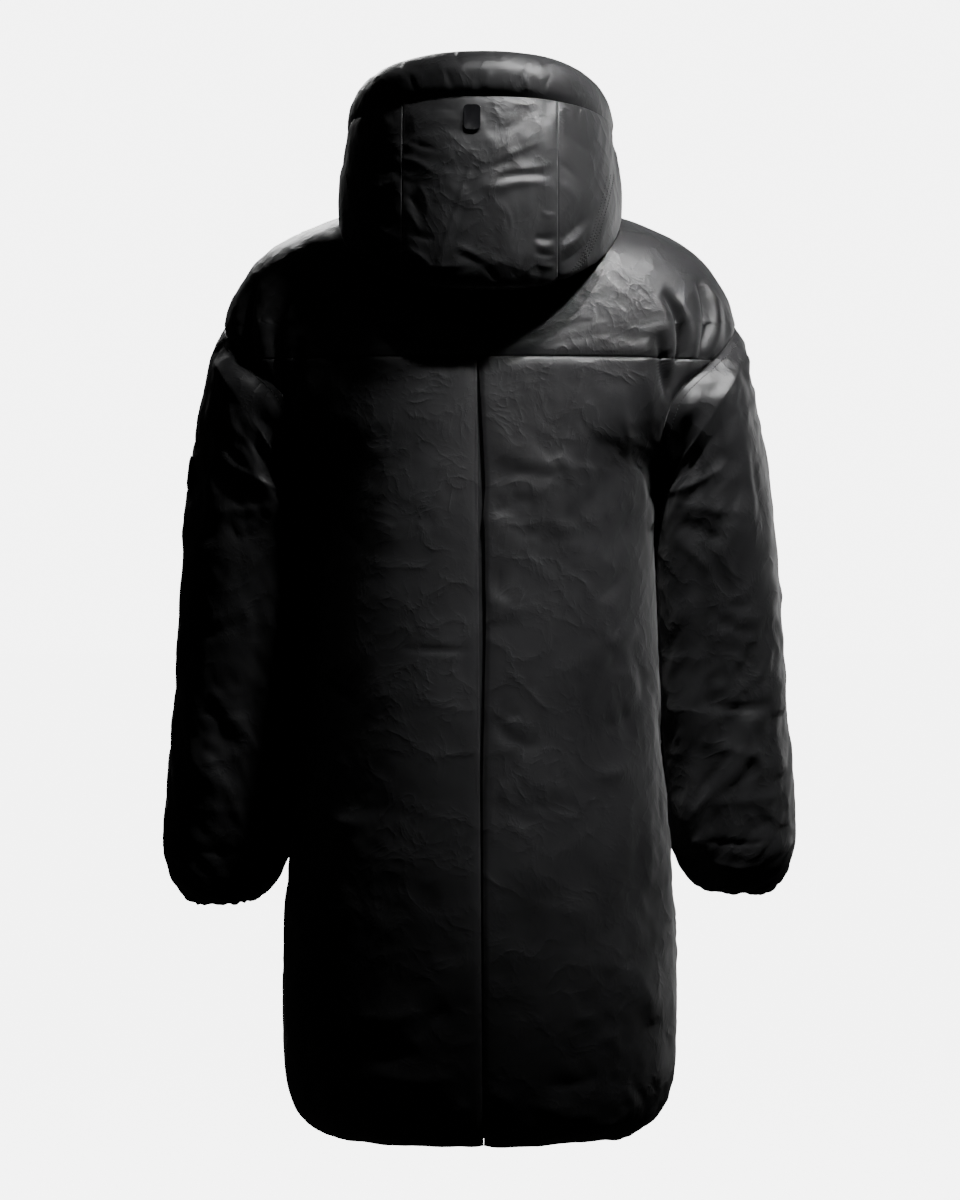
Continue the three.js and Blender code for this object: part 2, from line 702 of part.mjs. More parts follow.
// Each zip tape runs in the channel between the fronts, then between the two halves of the collar.
function tapeSpots(side) {
  const line = (surface, rows) => (at) => {
    const row = rowAt(rows, at);
    const edges = [ZIP_TAPE_EDGE, ZIP_CHANNEL - SEAM_GAP];
    return edges.map((across) => {
      const angle = (Math.PI - angleAcross(across, row.half)) * side;
      const point = surface(at, angle);
      const normal = loopNormal(surface, rows, at, angle);
      return { point, normal, lift: -ZIP_TAPE_DEPTH };
    });
  };
  const bodyLine = line(bodyAt, BODY);
  const hoodLine = line(hoodAt, HOOD);
  const brimLine = line(brimAt, BRIM);
  const body = [ZIP_FOOT, ...rowStops(1, NECK - 1, bodyHalves)].map(bodyLine);
  const collar = rowStops(1, HOOD.length - 1, () => false).map(hoodLine);
  const rim = [1, 2].map(brimLine);
  return [...body, ...collar, ...rim];
}

const backs = { [LEFT]: backPanelSpots(LEFT), [RIGHT]: backPanelSpots(RIGHT) };
const yoke = yokeSpots();
const fronts = { [LEFT]: frontSpots(LEFT), [RIGHT]: frontSpots(RIGHT) };
const neck = neckPoints(yoke, fronts);
const sideName = (side) => (side === LEFT ? 'left' : 'right');

addMesh('back_yoke', wallGeometry(yoke, BODY_WALL), shell);
addMesh('back_pleat_underlay', wallGeometry(underlaySpots(), UNDERLAY_WALL), shell);
const sleeves = {};
for (const side of [LEFT, RIGHT]) {
  addMesh(`back_panel_${sideName(side)}`, wallGeometry(backs[side], BODY_WALL), shell);
  addMesh(`front_panel_${sideName(side)}`, wallGeometry(fronts[side], BODY_WALL), shell);
  sleeves[side] = sleeveSpots(side, armholePoints(side, backs[side], yoke, fronts[side]));
  addMesh(`sleeve_${sideName(side)}`, wallGeometry(sleeves[side], SLEEVE_WALL, true), shell);
  addMesh(`hood_side_${sideName(side)}`, wallGeometry(hoodSideSpots(side, neck), HOOD_WALL), shell);
  addMesh(`zip_tape_${sideName(side)}`, wallGeometry(tapeSpots(side), ZIP_TAPE_WALL), tape);
}
addMesh('hood_centre', wallGeometry(hoodCentreSpots(neck), HOOD_WALL), gusset);
addMesh('hood_brim', wallGeometry(brimSpots(), HOOD_WALL), shell);

// A blank patch on the outside of the left sleeve, made from the sleeve's own points moved out.
function sleeveRowAtHeight(height) {
  const below = SLEEVE.findIndex((row) => row.outerZ < height);
  const high = SLEEVE[below - 1];
  const low = SLEEVE[below];
  return below - 1 + (high.outerZ - height) / (high.outerZ - low.outerZ);
}

function patchSpots() {
  const spots = [];
  for (let row = 0; row <= PATCH_ROWS; row += 1) {
    const height = mix(PATCH_FROM, PATCH_TO, row / PATCH_ROWS);
    const at = sleeveRowAtHeight(height);
    const section = rowAt(SLEEVE, at);
    const line = [];
    for (let column = 0; column <= PATCH_COLUMNS; column += 1) {
      const turn = mix(-PATCH_TURN, PATCH_TURN, column / PATCH_COLUMNS);
      const point = sleevePoint(section, turn, LEFT);
      const higher = sleevePoint(rowAt(SLEEVE, at - PATCH_STEP), turn, LEFT);
      const further = sleevePoint(section, turn + PATCH_STEP, LEFT);
      const normal = further.sub(point).cross(higher.sub(point)).normalize();
      if (normal.x < 0) normal.negate();
      line.push({ point, normal, lift: SEAM_GAP + PATCH_WALL });
    }
    spots.push(line);
  }
  return spots;
}

function movedOutGeometry(spots, wallDepth) {
  const lifted = spots.map((line) => line.map((spot) => ({
    point: outerPoint(spot),
    normal: spot.normal,
    lift: 0,
  })));
  return wallGeometry(lifted, wallDepth);
}

addMesh('sleeve_patch', movedOutGeometry(patchSpots(), PATCH_WALL), shell);

// A plain glossy tab with a raised rim, sewn near the top of the hood's middle panel.
function roundedRectangle(width, height, corner) {
  const shape = new THREE.Shape();
  const x = width / 2 - corner;
  const y = height / 2 - corner;
  shape.absarc(x, y, corner, 0, Math.PI / 2);
  shape.absarc(-x, y, corner, Math.PI / 2, Math.PI);
  shape.absarc(-x, -y, corner, Math.PI, 1.5 * Math.PI);
  shape.absarc(x, -y, corner, 1.5 * Math.PI, 2 * Math.PI);
  shape.closePath();
  return shape;
}

function tabMesh() {
  const geometry = new THREE.ExtrudeGeometry(roundedRectangle(TAB_WIDTH, TAB_HEIGHT, TAB_CORNER), {
    depth: TAB_WALL - TAB_BEVEL,
    bevelThickness: TAB_BEVEL,
    bevelSize: TAB_BEVEL,
    bevelOffset: -TAB_BEVEL,
    bevelSegments: 1,
    curveSegments: 4,
  });
  const angle = angleAcross(TAB_ACROSS, rowAt(HOOD, TAB_ROW).half);
  const point = hoodAt(TAB_ROW, angle);
  const normal = loopNormal(hoodAt, HOOD, TAB_ROW, angle);
  normal.x = 0;
  normal.normalize();
  const mesh = addMesh('hood_tab', geometry, gloss);
  const up = new THREE.Vector3(0, 0, 1);
  const across = up.clone().cross(normal).normalize();
  const frame = new THREE.Matrix4().makeBasis(across, normal.clone().cross(across), normal);
  mesh.quaternion.setFromRotationMatrix(frame);
  mesh.position.copy(point).addScaledVector(normal, TAB_CLEAR);
}

tabMesh();

// The slider stands closed at the top of the zip and its pull hangs from a bail.
const collarFront = -rowAt(HOOD, HOOD.length - 1).frontY;
const tapeFaceY = -(collarFront - ZIP_TAPE_DEPTH);

function solidOf(geometry) {
  const bare = geometry.clone();
  bare.deleteAttribute('normal');
  bare.deleteAttribute('uv');
  const merged = mergeVertices(bare);
  return new wasm.Manifold(new wasm.Mesh({
    numProp: 3,
    vertProperties: new Float32Array(merged.attributes.position.array),
    triVerts: new Uint32Array(merged.index.array),
  }));
}

function geometryOf(solid) {
  const mesh = solid.getMesh();
  const geometry = new THREE.BufferGeometry();
  geometry.setAttribute('position', new THREE.Float32BufferAttribute(mesh.vertProperties, 3));
  geometry.setIndex(Array.from(mesh.triVerts));
  geometry.computeVertexNormals();
  return geometry;
}

// A plate standing upright, its outline in X and Z and its thickness from backY towards -Y.
function uprightPlate(outline, thickness, backY, height) {
  const geometry = new THREE.ExtrudeGeometry(outline, {
    depth: thickness,
    bevelEnabled: false,
    curveSegments: CURVE_STEPS,
  });
  geometry.rotateX(Math.PI / 2);
  geometry.translate(0, backY, height);
  return geometry;
}

function boxBetween(width, fromY, toY, fromZ, toZ) {
  const geometry = new THREE.BoxGeometry(width, Math.abs(toY - fromY), toZ - fromZ);
  geometry.translate(0, (fromY + toY) / 2, (fromZ + toZ) / 2);
  return geometry;
}

const sliderBackOfFace = tapeFaceY - SEAM_GAP;
const sliderFaceY = sliderBackOfFace - SLIDER_FACE;
const tapeBackY = tapeFaceY + ZIP_TAPE_WALL;

function sliderGeometry() {
  const outline = roundedRectangle(SLIDER_WIDTH, SLIDER_LENGTH, SLIDER_CORNER);
  const face = solidOf(uprightPlate(outline, SLIDER_FACE, sliderBackOfFace, SLIDER_Z));
  const behindY = tapeBackY + SEAM_GAP + SLIDER_BACK;
  const back = solidOf(uprightPlate(outline, SLIDER_BACK, behindY, SLIDER_Z));
  const postFrom = SLIDER_Z + SLIDER_LENGTH / 6;
  const postTo = SLIDER_Z + SLIDER_LENGTH / 2 - 1;
  const post = solidOf(boxBetween(SLIDER_POST, behindY - WELD, sliderFaceY + WELD, postFrom, postTo));
  const bailOut = sliderFaceY - BAIL_CLEAR;
  const low = SLIDER_Z - BAIL_FEET / 2;
  const high = SLIDER_Z + BAIL_FEET / 2;
  const arch = solidOf(boxBetween(BAIL_WIDTH, bailOut - BAIL_THICK, bailOut, low, high));
  const foot = (from) => solidOf(
    boxBetween(BAIL_WIDTH, bailOut - BAIL_THICK, sliderFaceY + WELD, from, from + BAIL_THICK));
  const pieces = [back, post, arch, foot(low), foot(high - BAIL_THICK)];
  return geometryOf(pieces.reduce((sum, piece) => sum.add(piece), face));
}

const hingeY = sliderFaceY - BAIL_CLEAR / 2;

// The pull is one flat plate with a window; the bar above the window is what turns inside the bail.
function pullGeometry() {
  const outline = new THREE.Shape();
  const half = PULL_WIDTH / 2;
  const top = PULL_THICK / 2;
  const foot = top - PULL_LENGTH;
  outline.moveTo(-half, top);
  outline.lineTo(-half, foot + PULL_CORNER);
  outline.absarc(-half + PULL_CORNER, foot + PULL_CORNER, PULL_CORNER, Math.PI, 1.5 * Math.PI);
  outline.absarc(half - PULL_CORNER, foot + PULL_CORNER, PULL_CORNER, 1.5 * Math.PI, 2 * Math.PI);
  outline.lineTo(half, top);
  outline.closePath();
  const window = new THREE.Path();
  const windowHalf = PULL_WINDOW_WIDTH / 2;
  window.moveTo(-windowHalf, -top);
  window.lineTo(windowHalf, -top);
  window.lineTo(windowHalf, -top - PULL_WINDOW_LENGTH);
  window.lineTo(-windowHalf, -top - PULL_WINDOW_LENGTH);
  window.closePath();
  outline.holes.push(window);
  return uprightPlate(outline, PULL_THICK, PULL_THICK / 2, 0);
}

addMesh('zip_slider', sliderGeometry(), metal);
const pull = addMesh('zip_pull', pullGeometry(), metal);
pull.position.set(0, hingeY, SLIDER_Z);

export default group;
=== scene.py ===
import math

import bmesh
import bpy
import numpy as np
from mathutils import Matrix, Vector, noise
from mathutils.bvhtree import BVHTree


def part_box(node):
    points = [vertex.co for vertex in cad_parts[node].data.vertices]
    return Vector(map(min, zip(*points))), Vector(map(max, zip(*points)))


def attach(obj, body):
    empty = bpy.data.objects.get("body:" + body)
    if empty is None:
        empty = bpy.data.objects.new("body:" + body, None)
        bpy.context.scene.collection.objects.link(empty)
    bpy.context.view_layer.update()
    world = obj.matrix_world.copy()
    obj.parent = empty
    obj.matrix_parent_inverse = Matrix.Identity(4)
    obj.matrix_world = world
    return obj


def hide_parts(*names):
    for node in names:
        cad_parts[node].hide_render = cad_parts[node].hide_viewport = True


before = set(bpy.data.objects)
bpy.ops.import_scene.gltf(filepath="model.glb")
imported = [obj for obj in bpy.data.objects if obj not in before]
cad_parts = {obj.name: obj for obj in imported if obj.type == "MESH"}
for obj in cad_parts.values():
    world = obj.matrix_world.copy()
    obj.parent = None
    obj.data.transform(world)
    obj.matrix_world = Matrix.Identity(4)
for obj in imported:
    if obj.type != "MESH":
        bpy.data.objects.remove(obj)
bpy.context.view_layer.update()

# Sizes are in millimetres as a pattern cutter would give them, and MM turns them into metres.
MM = 0.001
LEFT, RIGHT = 1, -1
SIDE_NAMES = {LEFT: "left", RIGHT: "right"}
BACK, FRONT = 1, -1
BODY_WALL = 8
SLEEVE_WALL = 7
HOOD_WALL = 6
SEAM_GAP = 0.04
SEAM_LAP = 0.16
ROUNDNESS = 2.35
BODY_PANEL_WIDTH = 255
YOKE_WIDTH, SLEEVE_GIRTH, SLEEVE_LENGTH = 620, 440, 620
GUSSET_WIDTH, GUSSET_LENGTH = 170, 290
HOOD_SIDE_WIDTH, HOOD_SIDE_HEIGHT = 330, 240
BRIM_LENGTH, BRIM_WIDTH = 860, 90
GRID_STEP = 3.3
HOOD_STEP = 2.2
CENTRE_STEP = 1.9
YOKE_STEP = 2.6
FRONT_STEP = 3.8
SEAM_PINCH = 1.8
SEAM_PINCH_REACH = 8
YOKE_PINCH = 1.4
HOOD_PINCH = 0.6
HOOD_PINCH_REACH = 4.5
SIDE_PINCH = 0.7
REST_CLEARANCE = 0.6
REST_SWELL = 9
YOKE_SEAM_DRAWN = 196
SLEEVE_HEAD_SWELL = 8
ZIP_CHANNEL = 9.5
ZIP_TAPE_DEPTH = 2.5
LEFT_SLEEVE_DROP = 10
ZIP_STITCH_REACH = 9
ARMHOLE_STITCH_REACH = 8
PATCH_STITCH_REACH = 2.6
STITCH_PITCH = 3.6
STITCH_LENGTH = 2.7
THREAD = 0.55
PLEAT_EDGE_ROLL = 1.6
PLEAT_EDGE_REACH = 5
YOKE_PINCH_REACH = 5
SLEEVE_LEAD = 0.7
CORNER_WAVE = (12.9898, 78.233, 37.719, 43758.5453)
FACET_SHEAR = 0.366


def table(names, *rows):
    """The columns of a short table, each under its own name."""
    return dict(zip(names.split(), np.array(rows, float).T))


# Loops round the body from the hem to the neck, and how far out the armhole lies on each.
BODY = table(
    "half backY backZ sideY sideZ frontY frontZ armhole",
    (166, 138, -946, 0, -946, -136, -946, 166),
    (185, 153, -934, 0, -934, -149, -934, 185),
    (198, 162, -911, 0, -911, -157, -911, 198),
    (205, 167, -872, 0, -872, -161, -872, 205),
    (207, 168, -800, 0, -800, -162, -800, 207),
    (204, 168, -730, 0, -730, -161, -730, 204),
    (198, 166, -640, 0, -640, -159, -640, 198),
    (191, 164, -550, 0, -550, -157, -550, 191),
    (187, 162, -450, 0, -450, -154, -450, 187),
    (184, 159, -360, 0, -360, -151, -360, 184),
    (185.5, 157, -300, 0, -300, -149, -300, 185.5),
    (190, 155, -262, 0, -262, -147, -262, 190),
    (200, 154, -245, 0, -245, -146, -245, 190),
    (228, 152, -215, 0, -215, -144, -215, 190),
    (254, 149, -180, 0, -180, -140, -180, 205),
    (266, 145, -148, 0, -148, -136, -148, 240),
    (270, 141, -129, 0, -125, -132, -132, 260),
    (268, 137, -111, 0, -106, -128, -118, 268),
    (261, 132, -92, 0, -80, -123, -103, 261),
    (249, 127, -73, 0, -58, -118, -88, 249),
    (233, 120, -53, 0, -37, -112, -72, 233),
    (206, 111, -33, 0, -16, -105, -56, 206),
    (159, 97, -12, 2, 5, -96, -38, 159),
    (98, 80, 4, 5, 22, -86, -21, 98),
)
UNDERARM, YOKE_SEAM, SHOULDER_POINT, NECK = 11, 15, 17, 23
ZIP_FOOT = 0.5

# Loops of the hood from the neck seam to the seam of the brim.
HOOD = table(
    "half backY backZ sideY sideZ frontY frontZ gusset",
    (98, 80, 4, 5, 22, -86, -21, 72.5),
    (120, 106, -8, 12, 19, -100, -8, 76),
    (138, 146, -52, 26, 14, -110, 6, 78),
    (146.5, 174, -84, 38, 16, -116, 20, 78),
    (147, 190, -64, 43, 34, -120, 32, 78),
    (145, 196, -18, 45, 50, -121.5, 42, 78),
    (142, 195, 34, 43, 64, -121.5, 50, 78),
    (139.5, 188, 80, 38, 77, -121.5, 57, 78),
    (137.5, 180, 108, 32, 88, -121.5, 63, 78),
)
HOOD_TOP = 8

# The brim rolls over the rim of the hood and ends inside it.
BRIM = table(
    "half backY backZ sideY sideZ frontY frontZ",
    (137.5, 180, 108, 32, 88, -121.5, 63),
    (138, 184, 120, 27, 97, -121.5, 70),
    (136, 182, 137, 20, 107, -121.5, 77),
    (131, 170, 152, 12, 115, -119, 84),
    (123, 150, 158, 6, 117, -114, 88),
    (115, 132, 151, 3, 110, -109, 86),
    (111, 122, 136, 4, 98, -106, 79),
)
BRIM_END = 6

# Sections of a sleeve from beside the armhole to the turned-under cuff.
SLEEVE = table(
    "outerX outerZ innerX innerZ middleY depth",
    (281, -142, 191.5, -268, 0, 100),
    (290, -184, 192, -275, -1, 98),
    (298, -226, 191.5, -287, -2, 95),
    (304, -268, 190, -306, -3, 92),
    (310, -340, 188.5, -354, -5, 88),
    (315.5, -400, 188.5, -408, -8, 84),
    (320, -460, 190.5, -464, -11, 81),
    (324, -520, 193, -521, -14, 79),
    (329, -575, 196, -574, -17, 77),
    (333, -625, 200.5, -620, -20, 75),
    (332, -655, 203.5, -648, -22, 72),
    (325, -680, 209, -672, -23, 64),
    (312, -697, 222, -690, -24, 52),
    (298, -705, 236, -700, -25, 40),
)
CUFF = 13

# How far the two folded edges of the back pleat stand from the middle at each height.
PLEAT = table(
    "height left right",
    (-946, -3.6, -3.8),
    (-900, -2.4, -4.2),
    (-580, 0, -2.6),
    (-419, 1, -6),
    (-323, 1.8, -4.6),
    (-311, 1.9, -2.8),
    (-281, 2.1, -5.6),
    (-202, 2.6, -1.6),
    (-148, 3, 2.2),
)

# Folds as troughs (height below zero) and ridges along bent lines, seen from behind or in front.
FOLD_NAMES = "face fromX fromZ viaX viaZ toX toZ width height"
BODY_FOLDS = table(
    FOLD_NAMES,
    (BACK, -186, -80, -222, -110, -194, -186, 4.6, -13),
    (BACK, -198, -84, -232, -112, -206, -168, 7, 4.5),
    (BACK, -176, -84, -206, -112, -182, -160, 8, 3),
    (BACK, -221, -62, -246, -96, -222, -154, 4.2, -10),
    (BACK, -230, -62, -256, -94, -236, -146, 6, 4),
    (BACK, -181, -122, -187, -150, -194, -196, 4.4, -10),
    (BACK, -166, -128, -168, -170, -178, -226, 8, 3.5),
    (BACK, -248, -84, -262, -110, -250, -136, 5, -2.5),
    (BACK, 190, -80, 222, -112, 198, -186, 5, -11),
    (BACK, 204, -80, 236, -112, 212, -166, 7, 4),
    (BACK, 228, -60, 252, -96, 230, -150, 4.5, -8),
    (BACK, 182, -126, 188, -156, 194, -196, 4.6, -8),
    (BACK, -140, -176, -150, -230, -158, -290, 9, 3),
    (BACK, -158, -300, -146, -330, -128, -352, 7, -3.5),
    (BACK, -150, -356, -136, -380, -118, -396, 8, -2.5),
    (BACK, -160, -420, -146, -436, -120, -440, 9, 2.5),
    (BACK, -166, -500, -150, -520, -124, -524, 9, -3),
    (BACK, -162, -560, -140, -576, -112, -570, 10, 2.5),
    (BACK, -12, -392, -22, -376, -10, -358, 6, -3),
    (BACK, -8, -420, -18, -400, -28, -392, 6, 2.5),
    (BACK, 8, -444, 40, -446, 82, -442, 3, -1.6),
    (BACK, 62, -842, 92, -862, 122, -848, 10, -5),
    (BACK, 60, -806, 96, -820, 128, -812, 12, 4),
    (BACK, 30, -800, 52, -816, 66, -836, 8, -3.5),
    (BACK, 26, -870, 60, -882, 112, -868, 8, 3.5),
    (BACK, -62, -905, -92, -920, -118, -908, 8, 4.5),
    (BACK, -62, -880, -92, -886, -122, -872, 10, -4.5),
    (BACK, -48, -896, -70, -910, -96, -902, 6, 3),
    (BACK, -135, -868, -165, -905, -150, -926, 9, 4.5),
    (BACK, -142, -876, -176, -900, -170, -922, 7, -3),
    (BACK, 132, -880, 158, -908, 150, -926, 10, 4),
    (BACK, -8, -880, -22, -894, -34, -900, 6, 4),
    (BACK, -10, -908, -20, -920, -32, -926, 6, -4),
    (BACK, 12, -896, 24, -908, 34, -912, 7, 4.5),
    (BACK, 8, -924, 18, -930, 30, -932, 5, -3),
    (BACK, -100, -920, -130, -930, -150, -918, 6, 3),
    (BACK, -150, -760, -172, -790, -176, -830, 12, 5),
    (BACK, -176, -600, -170, -650, -174, -700, 6, 2.5),
    (BACK, 160, -470, 140, -500, 118, -506, 10, -3),
    (BACK, 158, -610, 134, -624, 112, -618, 10, 3),
    (BACK, 150, -300, 136, -330, 116, -346, 8, -3.5),
    (BACK, -60, -700, -90, -712, -126, -704, 14, 2),
    (BACK, -84, -240, -96, -300, -92, -360, 16, 1.6),
    (BACK, 90, -230, 100, -290, 96, -350, 16, 1.4),
    (FRONT, -194, -92, -216, -120, -194, -190, 12, -11),
    (FRONT, 194, -90, 216, -118, 194, -186, 12, -11),
    (FRONT, -226, -70, -246, -100, -224, -150, 10, -8),
    (FRONT, 228, -72, 246, -102, 226, -150, 10, -7),
    (FRONT, -60, -880, -96, -892, -124, -878, 10, -5),
    (FRONT, 60, -860, 96, -876, 126, -866, 10, -5),
    (FRONT, 34, -905, 62, -918, 98, -910, 8, 4),
    (FRONT, -40, -910, -70, -920, -110, -912, 8, 4),
    (FRONT, -170, -560, -140, -590, -104, -584, 12, -5),
    (FRONT, -162, -520, -136, -548, -110, -552, 9, 3.5),
    (FRONT, 168, -600, 136, -626, 98, -618, 12, -5),
    (FRONT, 164, -560, 136, -586, 106, -586, 9, 3.5),
    (FRONT, -172, -300, -150, -340, -110, -352, 12, -5),
    (FRONT, -160, -270, -136, -306, -100, -318, 9, 3.5),
    (FRONT, 172, -306, 150, -350, 108, -366, 12, -5.5),
    (FRONT, 162, -276, 136, -316, 98, -330, 9, 3.5),
    (FRONT, -20, -150, -60, -190, -110, -206, 12, -2.5),
    (FRONT, 22, -166, 62, -204, 112, -214, 12, -2.5),
    (FRONT, -22, -690, -70, -706, -130, -700, 12, 2.5),
    (FRONT, 22, -740, 66, -760, 126, -752, 12, 2.5),
)
SLEEVE_FOLDS = table(
    FOLD_NAMES,
    (BACK, 196, -268, 214, -240, 236, -204, 4.5, 3.2),
    (BACK, 200, -278, 222, -250, 248, -214, 4.5, -2.6),
    (BACK, 198, -284, 226, -276, 258, -250, 5, 3),
    (BACK, 200, -214, 212, -202, 224, -180, 4.5, 2.6),
    (BACK, 204, -222, 218, -214, 232, -196, 4.5, -2.4),
    (BACK, 206, -306, 228, -330, 258, -334, 4.5, -2.5),
    (BACK, 204, -292, 234, -306, 268, -302, 4.5, 2),
    (BACK, 206, -322, 222, -350, 238, -366, 3.8, 1.8),
    (BACK, 240, -330, 256, -356, 262, -384, 3.8, 1.6),
    (BACK, 266, -210, 280, -262, 284, -330, 6, 2.2),
    (BACK, 276, -230, 290, -280, 294, -340, 5, -1.8),
    (BACK, 236, -196, 250, -230, 246, -262, 5, -2.2),
    (BACK, 228, -498, 262, -512, 306, -500, 4.5, -2),
    (BACK, 232, -482, 262, -490, 296, -484, 3.8, 1.4),
    (BACK, 222, -540, 262, -548, 300, -560, 5.2, 1.6),
    (BACK, 236, -408, 262, -430, 300, -428, 4.5, -1.6),
    (BACK, 240, -398, 266, -416, 296, -412, 3.8, 1.1),
    (BACK, 270, -520, 290, -556, 296, -590, 4.5, 1.2),
    (BACK, 226, -640, 266, -654, 312, -640, 4.5, -2),
    (BACK, 232, -600, 266, -608, 306, -596, 6, 1.4),
    (BACK, 240, -664, 262, -676, 292, -668, 3.8, 1.7),
    (BACK, 256, -682, 270, -690, 290, -684, 3.8, -1.4),
    (FRONT, 210, -296, 238, -326, 268, -322, 7, -4.6),
    (FRONT, 214, -270, 240, -300, 272, -298, 7, 3.4),
    (FRONT, 216, -418, 256, -440, 300, -430, 7, -4.6),
    (FRONT, 214, -462, 256, -474, 304, -458, 7, -4.6),
    (FRONT, 216, -440, 256, -456, 302, -444, 6, 3),
    (FRONT, 222, -512, 260, -522, 300, -512, 8, -3),
    (FRONT, 226, -638, 266, -650, 310, -640, 6, -3.4),
    (FRONT, 240, -662, 262, -674, 292, -666, 5, 2.8),
)
HOOD_FOLDS = table(
    FOLD_NAMES,
    (BACK, 4, 50, 20, 4, 44, -62, 1.7, 1.9),
    (BACK, 0, 42, 14, 2, 34, -56, 2.5, -1.3),
    (BACK, -12, 20, -34, 34, -74, 28, 2.2, -1.9),
    (BACK, -14, 12, -38, 24, -72, 20, 2.5, 1.9),
    (BACK, -30, 30, -52, 36, -76, 40, 2.5, 1.2),
    (BACK, -54, -48, -62, -52, -74, -50, 1.9, -1.7),
    (BACK, -58, -60, -66, -62, -76, -60, 1.9, 1.6),
    (BACK, -4, -62, -12, -70, -18, -76, 1.9, -1.3),
    (BACK, 76, 66, 58, 56, 34, 52, 2.2, -1.6),
    (BACK, 76, 46, 58, 42, 44, 28, 2.5, 1.6),
    (BACK, 74, 8, 64, 4, 58, -14, 2.2, -1.9),
    (BACK, 74, -4, 66, -12, 60, -30, 2.5, 1.6),
    (BACK, 72, -26, 58, -34, 44, -36, 2.2, -1.4),
    (BACK, 74, -44, 60, -50, 48, -62, 2.2, 1.4),
    (BACK, -76, 44, -88, 38, -100, 26, 2.2, -1.7),
    (BACK, -78, 22, -90, 18, -98, 4, 2.5, 1.6),
    (BACK, -80, -36, -92, -28, -104, -10, 2.2, -2.2),
    (BACK, -80, -46, -96, -38, -114, -14, 2.5, 2.2),
    (BACK, -80, -58, -94, -52, -110, -34, 2.2, -1.9),
    (BACK, -78, -70, -90, -66, -100, -56, 2.2, 1.7),
    (BACK, -84, 78, -100, 60, -118, 54, 2.5, -1.4),
    (BACK, 80, 40, 94, 34, 106, 36, 2.5, -1.9),
    (BACK, 80, 26, 96, 16, 112, 20, 2.8, 1.7),
    (BACK, 80, -20, 100, -6, 116, 10, 2.8, -2.2),
    (BACK, 80, -36, 98, -26, 116, -8, 2.8, 2.2),
    (BACK, 80, -60, 92, -52, 104, -40, 2.5, -1.7),
    (BACK, -54, -32, -62, -38, -76, -30, 1.8, -1.8),
    (BACK, -52, -38, -62, -46, -76, -40, 1.8, 1.7),
    (BACK, -60, -6, -66, -14, -76, -10, 1.8, 1.4),
    (BACK, 28, -48, 12, -54, -4, -64, 2, -1),
    (BACK, 24, -42, 8, -48, -8, -58, 2, 1.1),
    (BACK, -6, 36, -34, 52, -70, 66, 1.8, 0.9),
    (BACK, 70, -58, 40, -66, 10, -60, 2, 1),
    (BACK, 62, 20, 50, 4, 54, -14, 1.8, 1),
    (BACK, -20, 2, -34, -14, -30, -34, 1.8, 0.8),
)
HOOD_ROWS = table(
    "x z", (133, 40), (131, 29), (126, 7), (117, -24), (105, -50), (89, -72), (80, -82))
HOOD_ROW_SHIFTS = (-4, 0, 4)
BRIM_FOLDS = table(
    FOLD_NAMES,
    (BACK, 92, 172, 88, 156, 78, 138, 2.6, -2.2),
    (BACK, 76, 172, 74, 158, 82, 142, 2.4, -1.6),
    (BACK, 31, 174, 29, 158, 20, 140, 2.6, -2.2),
    (BACK, 18, 174, 18, 158, 25, 144, 2.4, 1.4),
    (BACK, -8, 174, -9, 158, -18, 142, 2.6, -2),
    (BACK, -18, 174, -17, 158, -10, 144, 2.4, 1.2),
    (BACK, -55, 172, -57, 156, -66, 140, 2.6, -2),
    (BACK, -66, 172, -65, 156, -58, 142, 2.4, 1.2),
    (BACK, 28, 114, 29, 124, 36, 136, 2.2, -1.6),
    (BACK, 3, 114, 3, 124, -2, 133, 2, -1.4),
    (BACK, -5, 114, -6, 124, -12, 132, 2, 1.2),
    (BACK, -37, 113, -38, 123, -45, 134, 2.2, -1.6),
    (BACK, -48, 113, -47, 122, -42, 131, 2, 1.2),
    (BACK, -63, 112, -65, 122, -73, 132, 2.2, -1.6),
    (BACK, 64, 113, 66, 123, 74, 134, 2.2, -1.4),
    (BACK, 92, 110, 94, 120, 101, 130, 2.4, -1.6),
    (FRONT, 60, 104, 61, 88, 68, 76, 2.8, -1.8),
    (FRONT, 34, 100, 35, 86, 40, 76, 2.6, -1.4),
    (FRONT, -48, 102, -49, 87, -56, 76, 2.8, -1.8),
    (FRONT, -80, 106, -82, 90, -90, 80, 2.8, -1.6),
)

# How the outer skin is worked: short puckers at seams, soft hills of padding and crisp creases.
PUCKER_HEIGHT = 1.3
PUCKER_REACH = 12
PUCKER_LENGTH = 13
HILLS = table("length height", (140, 1.2), (70, 0.3))
CRUMPLES = table("length height lean", (56, 5.4, 0.5), (27, 3.7, -0.9), (13, 1.8, 0.2))
CRUMPLE_BEND = 8
CRUMPLE_JOIN = 40
CREASE_ROUND = 0.7


def ease(value, low, high):
    share = np.clip((value - low) / (high - low), 0, 1)
    return share * share * (3 - 2 * share)


def power(value, exponent):
    return np.sign(value) * np.abs(value) ** exponent


def smooth_row(rows, at):
    """Every column of a table at a place between its rows, on a smooth curve through them."""
    last = len(rows["half" if "half" in rows else "depth"]) - 1
    at = np.clip(at, 0, last)
    index = np.minimum(at.astype(int), last - 1)
    share = at - index
    found = {}
    for name, column in rows.items():
        before = column[np.maximum(index - 1, 0)]
        low = column[index]
        high = column[index + 1]
        after = column[np.minimum(index + 2, last)]
        curve = (2 * before - 5 * low + 4 * high - after) * share
        bend = (3 * low - before - 3 * high + after) * share * share
        found[name] = low + 0.5 * share * (high - before + curve + bend)
    return found


